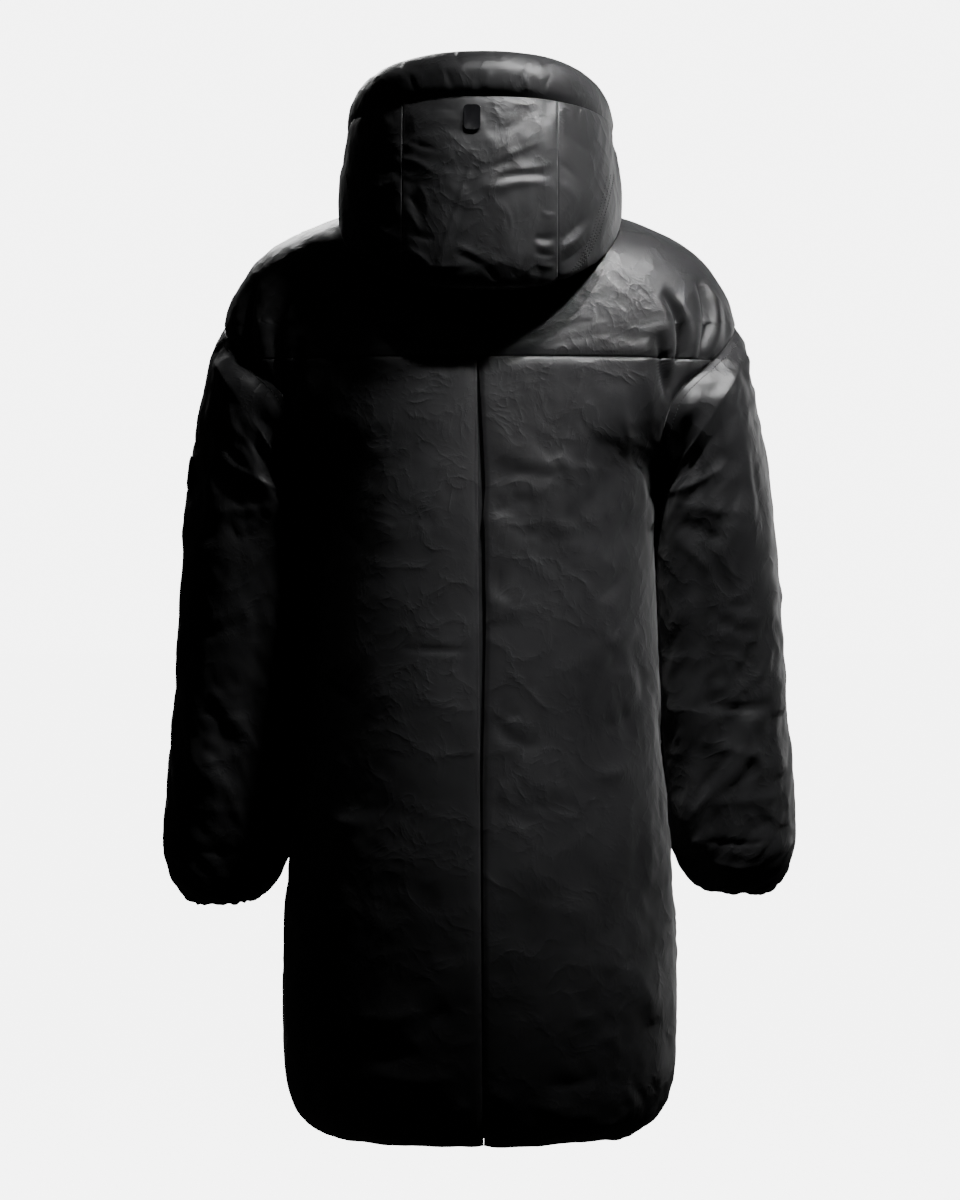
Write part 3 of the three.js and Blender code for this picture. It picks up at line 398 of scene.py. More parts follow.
def loop_points(rows, at, angle):
    """Points of rounded loops: angle 0 is the middle of the back, a quarter turn the wearer's left."""
    row = smooth_row(rows, at)
    across = power(np.sin(angle), 2 / ROUNDNESS) * row["half"]
    along = power(np.cos(angle), 2 / ROUNDNESS)
    share = np.abs(along)
    end_y = np.where(along > 0, row["backY"], row["frontY"])
    end_z = np.where(along > 0, row["backZ"], row["frontZ"])
    y = row["sideY"] + (end_y - row["sideY"]) * share
    z = row["sideZ"] + (end_z - row["sideZ"]) * share
    return np.stack([across, y, z], axis=1)


def angle_across(across, half):
    share = np.clip(np.abs(across) / half, 0, 1)
    return np.sign(across) * np.arcsin(share ** (ROUNDNESS / 2))


def unit(vectors):
    return vectors / np.maximum(np.linalg.norm(vectors, axis=-1, keepdims=True), 1e-9)


def run_along(line):
    """How far along a line each of its points lies."""
    return np.concatenate([[0], np.cumsum(np.linalg.norm(np.diff(line, axis=0), axis=1))])


def place_on(line, along, place):
    """The point of a line at one distance along it, or the points at several."""
    return np.stack([np.interp(place, along, line[:, axis]) for axis in range(3)], axis=-1)


def loop_normals(rows, at, angle):
    step = 0.02
    up = loop_points(rows, at + step, angle) - loop_points(rows, at - step, angle)
    around = loop_points(rows, at, angle + step) - loop_points(rows, at, angle - step)
    return unit(np.cross(up, around))


def fold_lift(folds, points, normals, middle=0.0):
    """How far the folds lift each point, each fading out at its two ends."""
    lift = np.zeros(len(points))
    face = np.where(points[:, 1] > middle, BACK, FRONT)
    facing = ease(np.abs(normals[:, 1]), 0.12, 0.5)
    flat = points[:, (0, 2)]
    share = np.linspace(0, 1, 13)
    for side, from_x, from_z, via_x, via_z, to_x, to_z, width, height in zip(*folds.values()):
        corners = np.array([(from_x, from_z), (via_x, via_z), (to_x, to_z)])
        reach = 4 * width
        near = np.flatnonzero(
            (face == side) & np.all(flat > corners.min(axis=0) - reach, axis=1)
            & np.all(flat < corners.max(axis=0) + reach, axis=1))
        weights = np.stack([(1 - share) ** 2, 2 * share * (1 - share), share ** 2], axis=1)
        line = weights @ corners
        step = np.diff(line, axis=0)
        offset = flat[near, None] - line[None, :-1]
        part = np.clip((offset * step).sum(axis=2) / (step ** 2).sum(axis=1), 0, 1)
        apart = np.linalg.norm(offset - part[..., None] * step, axis=2)
        best = apart.argmin(axis=1)
        pick = (np.arange(len(near)), best)
        along = np.clip((best + part[pick]) / len(step), 0, 1)
        nearest = np.hypot(apart[pick], CREASE_ROUND) - CREASE_ROUND
        fade = np.sin(np.pi * along) ** 0.8
        lift[near] += height * fade * np.exp(-((nearest / width) ** 1.2))
    return lift * facing


def noise_at(points, length, offset, stretch=(1, 1, 1)):
    scale = np.array(stretch) / length
    return np.array([noise.noise(p) for p in (points * scale + offset).tolist()])


def corner_height(column, row, seed):
    """A height from -1 to 1 for each corner of the net of facets, the same on every run."""
    by_column, by_row, by_seed, spread = CORNER_WAVE
    wave = np.sin(column * by_column + row * by_row + seed * by_seed) * spread
    return 2 * (wave - np.floor(wave)) - 1


def crumple(across, along, size, lean, seed):
    """Flat three-cornered facets with straight creases between them, as in crumpled cloth."""
    turned = (across * math.cos(lean) + along * math.sin(lean)) / size
    raised = (along * math.cos(lean) - across * math.sin(lean)) / size
    shear = (turned + raised) * FACET_SHEAR
    column, row = np.floor(turned + shear), np.floor(raised + shear)
    part_over, part_up = turned + shear - column, raised + shear - row
    above = (part_up > part_over).astype(float)
    least, most = np.minimum(part_over, part_up), np.maximum(part_over, part_up)
    near = corner_height(column, row, seed)
    beside = corner_height(column + 1 - above, row + above, seed)
    far = corner_height(column + 1, row + 1, seed)
    return near * (1 - most) + beside * (most - least) + far * least


def pucker_lift(reach, along, seed):
    """Short crisp ripples square to a seam, in uneven groups along it and dying away from it."""
    ripple = np.array([
        0.42 - 2.2 * abs(noise.noise(Vector((seed * 5.1, a / PUCKER_LENGTH, 0.3))))
        + 0.5 * noise.noise(Vector((seed * 2.3, a / (0.45 * PUCKER_LENGTH), 4.2)))
        for a in along.tolist()])
    group = np.array([noise.noise(Vector((a / 55, seed * 1.7, 6.6))) for a in along.tolist()])
    return PUCKER_HEIGHT * ripple * (0.25 + ease(group, -0.1, 0.3)) * np.exp(-reach / PUCKER_REACH)


class Panel:
    """A grid of cloth: its shares across and along, its points, normals and lifts."""

    def __init__(self, columns, rows, lay, wraps=False):
        self.columns, self.rows, self.wraps = columns, rows, wraps
        self.shape = bmesh.new()
        self.uv = self.shape.loops.layers.uv.new("cloth")
        bmesh.ops.create_grid(
            self.shape, x_segments=columns, y_segments=rows, size=0.5, calc_uvs=True)
        flat = np.array([v.co[:2] for v in self.shape.verts])
        self.share = (flat - flat.min(axis=0)) / (flat.max(axis=0) - flat.min(axis=0))
        self.points, self.normals = lay(self.share[:, 0], self.share[:, 1])
        self.lift = np.zeros(len(self.points))
        across = np.round(self.share[:, 0] * columns).astype(int)
        along = np.round(self.share[:, 1] * rows).astype(int)
        self.at = np.zeros((rows + 1, columns + 1), int)
        self.at[along, across] = np.arange(len(self.points))
        self.across, self.along = across, along

    def edge_distances(self):
        """How far each point is from the four edges, and how far along them it lies."""
        grid = self.points[self.at]
        steps_along = np.linalg.norm(np.diff(grid, axis=0), axis=2)
        steps_across = np.linalg.norm(np.diff(grid, axis=1), axis=2)
        up = np.vstack([np.zeros((1, self.columns + 1)), np.cumsum(steps_along, axis=0)])
        over = np.hstack([np.zeros((self.rows + 1, 1)), np.cumsum(steps_across, axis=1)])
        pick = (self.along, self.across)
        return {
            "foot": (up[pick], over[pick]),
            "head": ((up[-1] - up)[pick], over[pick]),
            "start": (over[pick], up[pick]),
            "end": ((over[:, -1:] - over)[pick], up[pick]),
        }

    def slack(self, seed, crumpled):
        """Soft hills of the padding, and crumpled facets that come and go over the cloth."""
        distances = self.edge_distances()
        over, up = distances["start"]
        across = over + CRUMPLE_BEND * noise_at(self.points, 48, (seed * 1.7, 3.1, 8.8))
        along = up + CRUMPLE_BEND * noise_at(self.points, 48, (seed * 5.9, 0.7, 2.2))
        patchy = ease(noise_at(self.points, 140, (6.1, seed * 8.7, 1.3)), -0.4, 0.25)
        lift = np.zeros(len(self.points))
        for number, (length, height) in enumerate(zip(*HILLS.values())):
            lift += height * noise_at(
                self.points, length, (seed * 7.3, number * 11.1, seed * 3.7), (1, 1, 0.7))
        round_all = over + distances["end"][0]
        for size, height, lean in zip(*CRUMPLES.values()):
            facet = crumple(across, along, size, lean, seed + size)
            if self.wraps:
                joined = crumple(across + round_all, along, size, lean, seed + size)
                facet = joined + (facet - joined) * ease(over, 0, CRUMPLE_JOIN)
            lift += crumpled * height * (0.3 + 0.7 * patchy) * facet / 2
        return lift

    def pad(self, seed, edges, crumpled=1.0):
        """The slack of the padding, which dies away at the sewn edges."""
        distances = self.edge_distances()
        nearest = np.min([distances[edge][0] for edge in edges], axis=0)
        self.lift += self.slack(seed, crumpled) * ease(nearest, 0, 16)

    def sew(self, edges, seed, side_pinch=None, drawn_within=None, pinch=SEAM_PINCH,
            reach_of_pinch=SEAM_PINCH_REACH, butted=()):
        """Pull in the sewn edges, pucker the cloth beside them and close the seam."""
        distances = self.edge_distances()
        drawn = np.zeros(len(self.points))
        for number, edge in enumerate(edges):
            reach, along = distances[edge]
            self.lift += pucker_lift(reach, along, seed + number) * ease(reach, 0, 4)
            depth = side_pinch if edge == "end" and side_pinch is not None else pinch
            if drawn_within is not None and edge in ("head", "foot"):
                depth = depth * ease(-np.abs(self.points[:, 0]), -drawn_within, 12 - drawn_within)
            drawn = np.maximum(drawn, depth * np.exp(-((reach / reach_of_pinch) ** 2)))
        self.lift -= drawn
        self.close_seams(edges, butted)

    def close_seams(self, edges, butted=()):
        """Laps each sewn edge a hair past its seam, or butts it and leaves a fine dark line."""
        lines = {
            "foot": (self.at[0], self.at[1]), "head": (self.at[-1], self.at[-2]),
            "start": (self.at[:, 0], self.at[:, 1]), "end": (self.at[:, -1], self.at[:, -2]),
        }
        for edge in edges:
            border, beside = lines[edge]
            towards = unit(self.points[beside] - self.points[border])
            self.points[border] += towards * (SEAM_GAP if edge in butted else -SEAM_LAP) / 2

    def line_beside(self, edge, reach):
        """Points and outward normals of a line that keeps one distance from an edge."""
        grid, facing = self.places[self.at], self.normals[self.at]
        if edge in ("foot", "head"):
            grid, facing = grid.swapaxes(0, 1), facing.swapaxes(0, 1)
        if edge in ("end", "head"):
            grid, facing = grid[:, ::-1], facing[:, ::-1]
        step = np.linalg.norm(np.diff(grid, axis=1), axis=2)
        over = np.hstack([np.zeros((len(grid), 1)), np.cumsum(step, axis=1)])
        before = (over < reach).sum(axis=1) - 1
        rows = np.arange(len(grid))
        share = ((reach - over[rows, before]) / step[rows, before])[:, None]
        near, far = grid[rows, before], grid[rows, before + 1]
        return near + (far - near) * share, facing[rows, before]

    def make(self, name, wall, flat, material):
        """The panel as a piece: its outer skin laid out, then its wall thickness."""
        self.places = self.points + self.normals * self.lift[:, None]
        for vertex, place in zip(self.shape.verts, (self.places * MM).tolist()):
            vertex.co = place
        for face in self.shape.faces:
            for loop in face.loops:
                loop[self.uv].uv.x *= flat[0]
                loop[self.uv].uv.y *= flat[1]
        centre = self.at[self.rows // 2, self.columns // 2]
        self.shape.verts.ensure_lookup_table()
        self.shape.normal_update()
        if self.shape.verts[centre].normal.dot(Vector(self.normals[centre])) < 0:
            bmesh.ops.reverse_faces(self.shape, faces=self.shape.faces)
        if self.wraps:
            bmesh.ops.remove_doubles(self.shape, verts=self.shape.verts, dist=0.0001)
        mesh = bpy.data.meshes.new(name)
        self.shape.to_mesh(mesh)
        self.shape.free()
        mesh.shade_smooth()
        piece = bpy.data.objects.new(name, mesh)
        bpy.context.collection.objects.link(piece)
        solid = piece.modifiers.new("wall", "SOLIDIFY")
        solid.thickness = wall * MM
        solid.offset = -1
        piece.data.materials.append(material)
        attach(piece, "garment")
        return piece


class Sewing:
    """Short stitches of thread along lines on the cloth, gathered into one piece."""

    def __init__(self):
        self.shape = bmesh.new()

    def along(self, line, facing):
        length = run_along(line)
        for place in np.arange(STITCH_PITCH, length[-1] - STITCH_PITCH, STITCH_PITCH):
            ends = [
                place_on(line, length, place + shift)
                for shift in (-STITCH_LENGTH / 2, STITCH_LENGTH / 2)]
            up = Vector(place_on(facing, length, place)).normalized()
            ahead = Vector(ends[1] - ends[0])
            across = up.cross(ahead).normalized()
            up = ahead.cross(across).normalized()
            turned = Matrix((ahead, across * THREAD, up * THREAD)).transposed().to_4x4()
            middle = Vector((ends[0] + ends[1]) / 2) + up * THREAD / 4
            where = Matrix.Diagonal((MM, MM, MM, 1)) @ Matrix.Translation(middle) @ turned
            bmesh.ops.create_cube(self.shape, size=1, matrix=where)

    def beside(self, panel, *lines):
        for edge, reach in lines:
            self.along(*panel.line_beside(edge, reach))

    def finish(self):
        piece = piece_from(self.shape, "sewing_thread", THREAD_FINISH)


SEWING = Sewing()


def declare(node):
    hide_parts(node)


class Finish:
    """A material that reads the piece's own coordinates, and the nodes that shape its surface."""

    def __init__(self, name):
        self.material = bpy.data.materials.new(name)
        self.material.use_nodes = True
        self.tree = self.material.node_tree
        self.shader = self.tree.nodes["Principled BSDF"]
        self.place = self.tree.nodes.new("ShaderNodeTexCoord")

    def set(self, **values):
        """Sets the shader's own sockets, each named with low lines for its spaces."""
        for name, value in values.items():
            self.shader.inputs[name.replace("_", " ")].default_value = value

    def link(self, source, output, target, socket):
        self.tree.links.new(source.outputs[output], target.inputs[socket])

    def pattern(self, kind, coordinates, **values):
        node = self.tree.nodes.new(kind)
        for name, value in values.items():
            node.inputs[name].default_value = value
        source, output = coordinates
        self.link(source, output, node, "Vector")
        return node

    def tone(self, pattern, dark, light, ends=(0, 1)):
        """The base colour, between two tones of the pattern."""
        ramp = self.tree.nodes.new("ShaderNodeValToRGB")
        for element, place, tone in zip(ramp.color_ramp.elements, ends, (dark, light)):
            element.position = place
            element.color = (*tone, 1)
        self.link(pattern, "Fac", ramp, "Fac")
        self.link(ramp, "Color", self.shader, "Base Color")

    def polish(self, pattern, smooth, rough):
        """The roughness, between two values of the pattern."""
        between = self.tree.nodes.new("ShaderNodeMapRange")
        between.inputs["To Min"].default_value = smooth
        between.inputs["To Max"].default_value = rough
        self.link(pattern, "Fac", between, "Value")
        self.link(between, "Result", self.shader, "Roughness")

    def raise_by(self, pattern, output, strength, height, below=None):
        """Lets a pattern raise the surface, over another pattern that already does."""
        bump = self.tree.nodes.new("ShaderNodeBump")
        bump.inputs["Strength"].default_value = strength
        bump.inputs["Distance"].default_value = height
        self.link(pattern, output, bump, "Height")
        if below is not None:
            self.link(below, "Normal", bump, "Normal")
        return bump

    def done(self, bump):
        self.link(bump, "Normal", self.shader, "Normal")
        return self.material


def shell_fabric(name, color, roughness):
    """Tightly woven satin-faced shell: near black, faintly mottled, with a fine weave and crinkle."""
    cloth = Finish(name)
    cloth.set(Specular_IOR_Level=0.4, Sheen_Weight=0.12, Sheen_Roughness=0.45)
    solid, flat = (cloth.place, "Object"), (cloth.place, "UV")
    mottle = cloth.pattern("ShaderNodeTexNoise", solid, Scale=14, Detail=5)
    cloth.tone(mottle, [c * 0.75 for c in color], [c * 1.3 for c in color], (0.3, 0.7))
    cloth.polish(mottle, roughness - 0.06, roughness + 0.07)

    crinkle = cloth.tree.nodes.new("ShaderNodeTexNoise")
    crinkle.noise_type = "RIDGED_MULTIFRACTAL"
    for socket, value in zip(
            ("Scale", "Detail", "Roughness", "Lacunarity", "Offset", "Gain", "Distortion"),
            (23, 4, 0.55, 2.3, 0.85, 1.6, 0.35)):
        crinkle.inputs[socket].default_value = value
    cloth.link(*solid, crinkle, "Vector")
    creased = cloth.raise_by(crinkle, "Fac", 0.7, 0.001)

    threads = cloth.pattern("ShaderNodeMapping", flat, Scale=(1500, 1500, 1))
    weave = cloth.pattern("ShaderNodeTexVoronoi", (threads, "Vector"), Scale=1, Randomness=0.25)
    return cloth.done(cloth.raise_by(weave, "Distance", 0.12, 0.0003, below=creased))


def hard_finish(name, color, roughness, metallic, coat=0.0):
    """Painted metal or glossy moulding, with fine scuffs in its polish."""
    paint = Finish(name)
    paint.set(
        Base_Color=(*color, 1), Metallic=metallic, Coat_Weight=coat, Coat_Roughness=0.08)
    scuff = paint.pattern("ShaderNodeTexNoise", (paint.place, "Object"), Scale=400, Detail=3)
    paint.polish(scuff, roughness - 0.07, roughness + 0.09)
    return paint.done(paint.raise_by(scuff, "Fac", 0.1, 0.0001))


def webbing(name, color, rib):
    """Woven zip tape, patch cloth or thread: fine ribs across its length."""
    weave = Finish(name)
    weave.set(Sheen_Weight=0.15, Specular_IOR_Level=0.25)
    ribs = weave.pattern(
        "ShaderNodeTexWave", (weave.place, "Object"), Scale=rib, Distortion=0.6)
    ribs.bands_direction = "Z"
    weave.tone(ribs, [c * 0.7 for c in color], [c * 1.25 for c in color])
    weave.polish(ribs, 0.7, 0.9)
    return weave.done(weave.raise_by(ribs, "Fac", 0.4, 0.0004))


SHELL = shell_fabric("black_shell", (0.014, 0.014, 0.015), 0.45)
TAPE = webbing("black_zip_tape", (0.014, 0.014, 0.015), 420)
PATCH = webbing("black_patch_cloth", (0.012, 0.012, 0.013), 300)
THREAD_FINISH = webbing("black_thread", (0.02, 0.02, 0.021), 900)
METAL = hard_finish("black_zip_metal", (0.05, 0.05, 0.052), 0.32, 0.9)
GLOSS = hard_finish("black_gloss_moulding", (0.008, 0.008, 0.009), 0.16, 0.0, coat=0.8)


def steps(length, step=GRID_STEP):
    return max(int(round(length / step)), 4)


def pleat_edge(height, side):
    return np.interp(height, PLEAT["height"], PLEAT[SIDE_NAMES[side]])


def side_angle(at, face):
    """Where the side seam or the armhole lies on each loop."""
    row = smooth_row(BODY, at)
    angle = angle_across(row["armhole"], row["half"])
    angle = np.where((at <= UNDERARM) | (at >= SHOULDER_POINT), math.pi / 2, angle)
    return angle if face == BACK else math.pi - angle


def row_places(first, last):
    """Turns a share of a panel's height into a place in the body's table, and gives the height."""
    at = np.linspace(first, last, 400)
    row = smooth_row(BODY, at)
    step = np.hypot(np.diff(row["backZ"]), np.diff(row["backY"]))
    step = np.maximum(step, 0.5 * np.abs(np.diff(row["half"])))
    along = np.concatenate([[0], np.cumsum(step)])
    return lambda share: np.interp(share * along[-1], along, at), along[-1]


def with_key_rows(at, keys):
    """Moves the row nearest each key place of the table onto it, so that corners stay sharp."""
    places = np.unique(at)
    for key in keys:
        nearest = places[np.argmin(np.abs(places - key))]
        at = np.where(at == nearest, key, at)
    return at


def side_pinch(at):
    """The side seam is drawn in less than the armhole, so that the sleeve can rest against it."""
    return SIDE_PINCH + (SEAM_PINCH - SIDE_PINCH) * ease(at, UNDERARM - 0.6, UNDERARM + 0.4)


def body_panel(side, face, first, last, inner, keys, crumpled, step=GRID_STEP):
    place, length = row_places(first, last)

    def lay(across, along):
        at = with_key_rows(place(along), keys)
        row = smooth_row(BODY, at)
        angle = inner(row, at) + (side_angle(at, face) - inner(row, at)) * across
        return loop_points(BODY, at, angle * side), loop_normals(BODY, at, angle * side)

    panel = Panel(steps(BODY_PANEL_WIDTH, step), steps(length, step), lay)
    panel.lift += fold_lift(BODY_FOLDS, panel.points, panel.normals)
    panel.pad(3 * side + face, ("start", "head", "end"), crumpled)
    panel.side_pinch = side_pinch(with_key_rows(place(panel.share[:, 1]), keys))
    return panel


def back_panel(side):
    name = SIDE_NAMES[side]
    flat = (0.275, 0.86)

    def inner(row, at):
        return angle_across(pleat_edge(row["backZ"], side) * side, row["half"])

    crumpled = 0.5 if side == LEFT else 0.8
    panel = body_panel(side, BACK, 0, YOKE_SEAM, inner, (UNDERARM,), crumpled)
    edge_reach = panel.edge_distances()["start"][0]
    panel.lift *= ease(edge_reach, -4, 14)
    panel.lift -= PLEAT_EDGE_ROLL * np.exp(-((edge_reach / PLEAT_EDGE_REACH) ** 2))
    panel.sew(
        ("head", "end"), 10 + side, panel.side_pinch, YOKE_SEAM_DRAWN, YOKE_PINCH, YOKE_PINCH_REACH)
    piece = panel.make(f"back_panel_{name}_cloth", BODY_WALL, flat, SHELL)
    declare(f"back_panel_{name}")


def back_yoke():
    flat = (0.64, 0.2)
    place, length = row_places(YOKE_SEAM, NECK)

    def lay(across, along):
        at = with_key_rows(place(along), (SHOULDER_POINT,))
        angle = side_angle(at, BACK) * (2 * across - 1)
        return loop_points(BODY, at, angle), loop_normals(BODY, at, angle)

    panel = Panel(steps(YOKE_WIDTH, YOKE_STEP), steps(length, YOKE_STEP), lay)
    panel.lift += fold_lift(BODY_FOLDS, panel.points, panel.normals)
    panel.pad(21, ("foot", "start", "end"), 0.4)
    panel.sew(("foot",), 30, None, YOKE_SEAM_DRAWN, YOKE_PINCH, YOKE_PINCH_REACH)
    panel.sew(("start", "end"), 33)
    piece = panel.make("back_yoke_cloth", BODY_WALL, flat, SHELL)
    declare("back_yoke")


def front_panel(side):
    name = SIDE_NAMES[side]
    flat = (0.275, 1.02)

    def inner(row, at):
        return math.pi - angle_across(ZIP_CHANNEL, row["half"])

    panel = body_panel(side, FRONT, 0, NECK, inner, (UNDERARM, SHOULDER_POINT), 0.8, FRONT_STEP)
    zip_reach = panel.edge_distances()["start"][0]
    panel.lift *= ease(zip_reach, -4, 20)
    panel.sew(("end",), 40 + side, panel.side_pinch)
    piece = panel.make(f"front_panel_{name}_cloth", BODY_WALL, flat, SHELL)
    SEWING.beside(panel, ("start", ZIP_STITCH_REACH))
    declare(f"front_panel_{name}")


def armhole_points(side):
    """The armhole's line, from the shoulder down behind, under the arm and up in front."""
    rows = np.linspace(UNDERARM, SHOULDER_POINT, 121)
    down = rows[::-1]
    behind_angle = side_angle(down, BACK) * side
    front_angle = side_angle(rows, FRONT) * side
    at = np.concatenate([down, rows[1:]])
    angle = np.concatenate([behind_angle, front_angle[1:]])
    points = loop_points(BODY, at, angle)
    normals = loop_normals(BODY, at, angle)
    lift = fold_lift(BODY_FOLDS, points, normals) - side_pinch(at)
    line = points + normals * (lift + SEAM_GAP)[:, None]
    along = run_along(line)
    return line, along / along[-1]


def sleeve_section(at, turn, side):
    row = smooth_row(SLEEVE, at)
    out = power(np.cos(turn), 2 / ROUNDNESS)
    behind = power(np.sin(turn), 2 / ROUNDNESS)
    x = row["innerX"] + (row["outerX"] - row["innerX"]) * (1 + out) / 2
    z = row["innerZ"] + (row["outerZ"] - row["innerZ"]) * (1 + out) / 2
    if side == LEFT:
        z = z - LEFT_SLEEVE_DROP * ease(-z, 300, 700)
    return np.stack([x * side, row["middleY"] + row["depth"] * behind, z], axis=1)


def lean_on_body(points, normals):
    """How far the inner side of a sleeve swells to rest just clear of the body's side."""
    side_seam = slice(0, UNDERARM + 1)
    half, deep = (
        np.interp(points[:, 2], BODY["backZ"][side_seam], BODY[name][side_seam])
        for name in ("half", "backY"))
    share = np.clip(np.abs(points[:, 1]) / deep, 0, 0.95)
    body_x = half * (1 - share ** ROUNDNESS) ** (1 / ROUNDNESS)
    room = points[:, 0] - body_x - REST_CLEARANCE
    inward = ease(-normals[:, 0], 0.25, 0.8)
    lower = ease(-points[:, 2], 240, 285) * ease(points[:, 2], -668, -640)
    return np.clip(room, 0, REST_SWELL) * inward * lower


def sleeve(side):
    name = SIDE_NAMES[side]
    flat = (0.46, 0.62)
    line, line_share = armhole_points(side)
    ring_count = 361
    ring_share = np.linspace(0, 1, ring_count)
    ring = sleeve_section(np.zeros(ring_count), ring_share * 2 * math.pi, side)
    ring_along = run_along(ring)
    ring_along /= ring_along[-1]
    lead = SLEEVE_LEAD

    def lay(across, along):
        at = along * (CUFF + lead) - lead
        turn = 2 * math.pi * across
        lower = sleeve_section(np.maximum(at, 0), turn, side)
        spread = np.interp(across, ring_share, ring_along)
        start = place_on(line, line_share, spread)
        top = sleeve_section(np.zeros(len(at)), turn, side)
        share = np.clip((at + lead) / lead, 0, 1)[:, None]
        below = sleeve_section(np.full(len(at), 0.2), turn, side)
        rise = (below - top) * 5 * lead
        straight = top - start
        bulge = top - top.mean(axis=0)
        leave = straight * 0.6 + unit(bulge) * SLEEVE_HEAD_SWELL
        square, cube = share ** 2, share ** 3
        joined = (
            start * (2 * cube - 3 * square + 1) + leave * (cube - 2 * square + share)
            + top * (3 * square - 2 * cube) + rise * (cube - square))
        points = np.where(at[:, None] < 0, joined, lower)
        return points, np.zeros_like(points)

    panel = Panel(steps(SLEEVE_GIRTH), steps(SLEEVE_LENGTH), lay, wraps=True)
    grid = panel.points[panel.at]
    up = np.gradient(grid, axis=0)
    wrapped = np.concatenate([grid[:, -2:-1], grid, grid[:, 1:2]], axis=1)
    around = wrapped[:, 2:] - wrapped[:, :-2]
    normals = unit(np.cross(around, up))
    middle = normals[panel.rows // 2, 0, 0] * side
    normals *= np.sign(middle)
    panel.normals[panel.at] = normals
    mirrored = panel.points * np.array([side, 1, 1])
    facing = panel.normals * np.array([side, 1, 1])
    drop = ease(-mirrored[:, 2], 300, 700) * (LEFT_SLEEVE_DROP if side == LEFT else 0)
    mirrored[:, 2] += drop
    centre = np.interp(-mirrored[:, 2], -SLEEVE["outerZ"], SLEEVE["middleY"])
    panel.lift += fold_lift(SLEEVE_FOLDS, mirrored, facing, centre)
    distances = panel.edge_distances()
    near_top = distances["foot"][0]
    puff = panel.slack(50 + side, 1.3)
    panel.lift += puff * ease(near_top, 2, 20)
    inner_x = np.interp(-mirrored[:, 2], -SLEEVE["innerZ"], SLEEVE["innerX"])
    clear_of_body = ease(mirrored[:, 0] - inner_x, 2, 22)
    panel.lift *= clear_of_body
    panel.lift += lean_on_body(mirrored, facing)
    panel.lift += pucker_lift(near_top, distances["foot"][1], 60 + side) * ease(near_top, 0, 3)
    cuff_reach = distances["head"][0]
    panel.lift += 1.3 * pucker_lift(cuff_reach * 0.6, distances["head"][1], 62 + side)
    panel.lift[panel.at[:, -1]] = panel.lift[panel.at[:, 0]]
    piece = panel.make(f"sleeve_{name}_cloth", SLEEVE_WALL, flat, SHELL)
    SEWING.beside(panel, ("foot", ARMHOLE_STITCH_REACH))
    declare(f"sleeve_{name}")


def gusset_angle(at):
    row = smooth_row(HOOD, at)
    return angle_across(row["gusset"], row["half"])


def hood_lay(low, high):
    """Lays a grid on the hood between two angles, each given for a row of its table."""
    def lay(across, along):
        at = np.clip(along, 0, 1) * HOOD_TOP
        angle = low(at) + (high(at) - low(at)) * across
        points = loop_points(HOOD, at, angle)
        points[:, 2] += 1.5 * SEAM_GAP * (1 - np.clip(along * 4, 0, 1))
        near = np.exp(-((1 - along) / 0.07) ** 2)[:, None]
        normals = loop_normals(HOOD, at, angle)
        return points, unit(normals * (1 - near) + brim_seam_normals(angle) * near)
    return lay


def brim_seam_normals(angle):
    """The way that the seam between hood and brim faces: halfway between the two cloths."""
    top, foot = np.full(len(angle), float(HOOD_TOP)), np.zeros(len(angle))
    return unit(loop_normals(HOOD, top, angle) + loop_normals(BRIM, foot, angle))


def hood_centre():
    flat = (0.17, 0.36)
    lay = hood_lay(lambda at: -gusset_angle(at), gusset_angle)
    panel = Panel(steps(GUSSET_WIDTH, CENTRE_STEP), steps(GUSSET_LENGTH, CENTRE_STEP), lay)
    panel.lift += fold_lift(HOOD_FOLDS, panel.points, panel.normals)
    from_neck = panel.edge_distances()["foot"][0]
    panel.pad(71, ("start", "end", "head"), 0.6)
    panel.lift *= ease(from_neck, 5, 40)
    panel.sew(
        ("head", "start", "end"), 72, pinch=HOOD_PINCH, reach_of_pinch=HOOD_PINCH_REACH,
        butted=("start", "end"))
    piece = panel.make("hood_centre_cloth", HOOD_WALL, flat, SHELL)
    declare("hood_centre")


def sew_hood_rows(piece, side):
    """Three close rows of stitches that curve down the side of the hood to the neck."""
    count = 40
    shape = bmesh.new()
    shape.from_mesh(piece.data)
    skin = BVHTree.FromBMesh(shape)
    for shift in HOOD_ROW_SHIFTS:
        place = np.linspace(0, len(HOOD_ROWS["x"]) - 1, count)
        across = np.interp(place, np.arange(len(HOOD_ROWS["x"])), HOOD_ROWS["x"]) + shift
        height = np.interp(place, np.arange(len(HOOD_ROWS["z"])), HOOD_ROWS["z"]) + shift / 2
        line, facing = [], []
        for x, z in zip(across.tolist(), height.tolist()):
            spot, normal, _, _ = skin.ray_cast(Vector((x * side, 400, z)) * MM, Vector((0, -1, 0)))
            if spot is not None:
                line.append(np.array(spot) / MM)
                facing.append(np.array(normal))
        if len(line) > 1:
            SEWING.along(np.array(line), np.array(facing))
    shape.free()


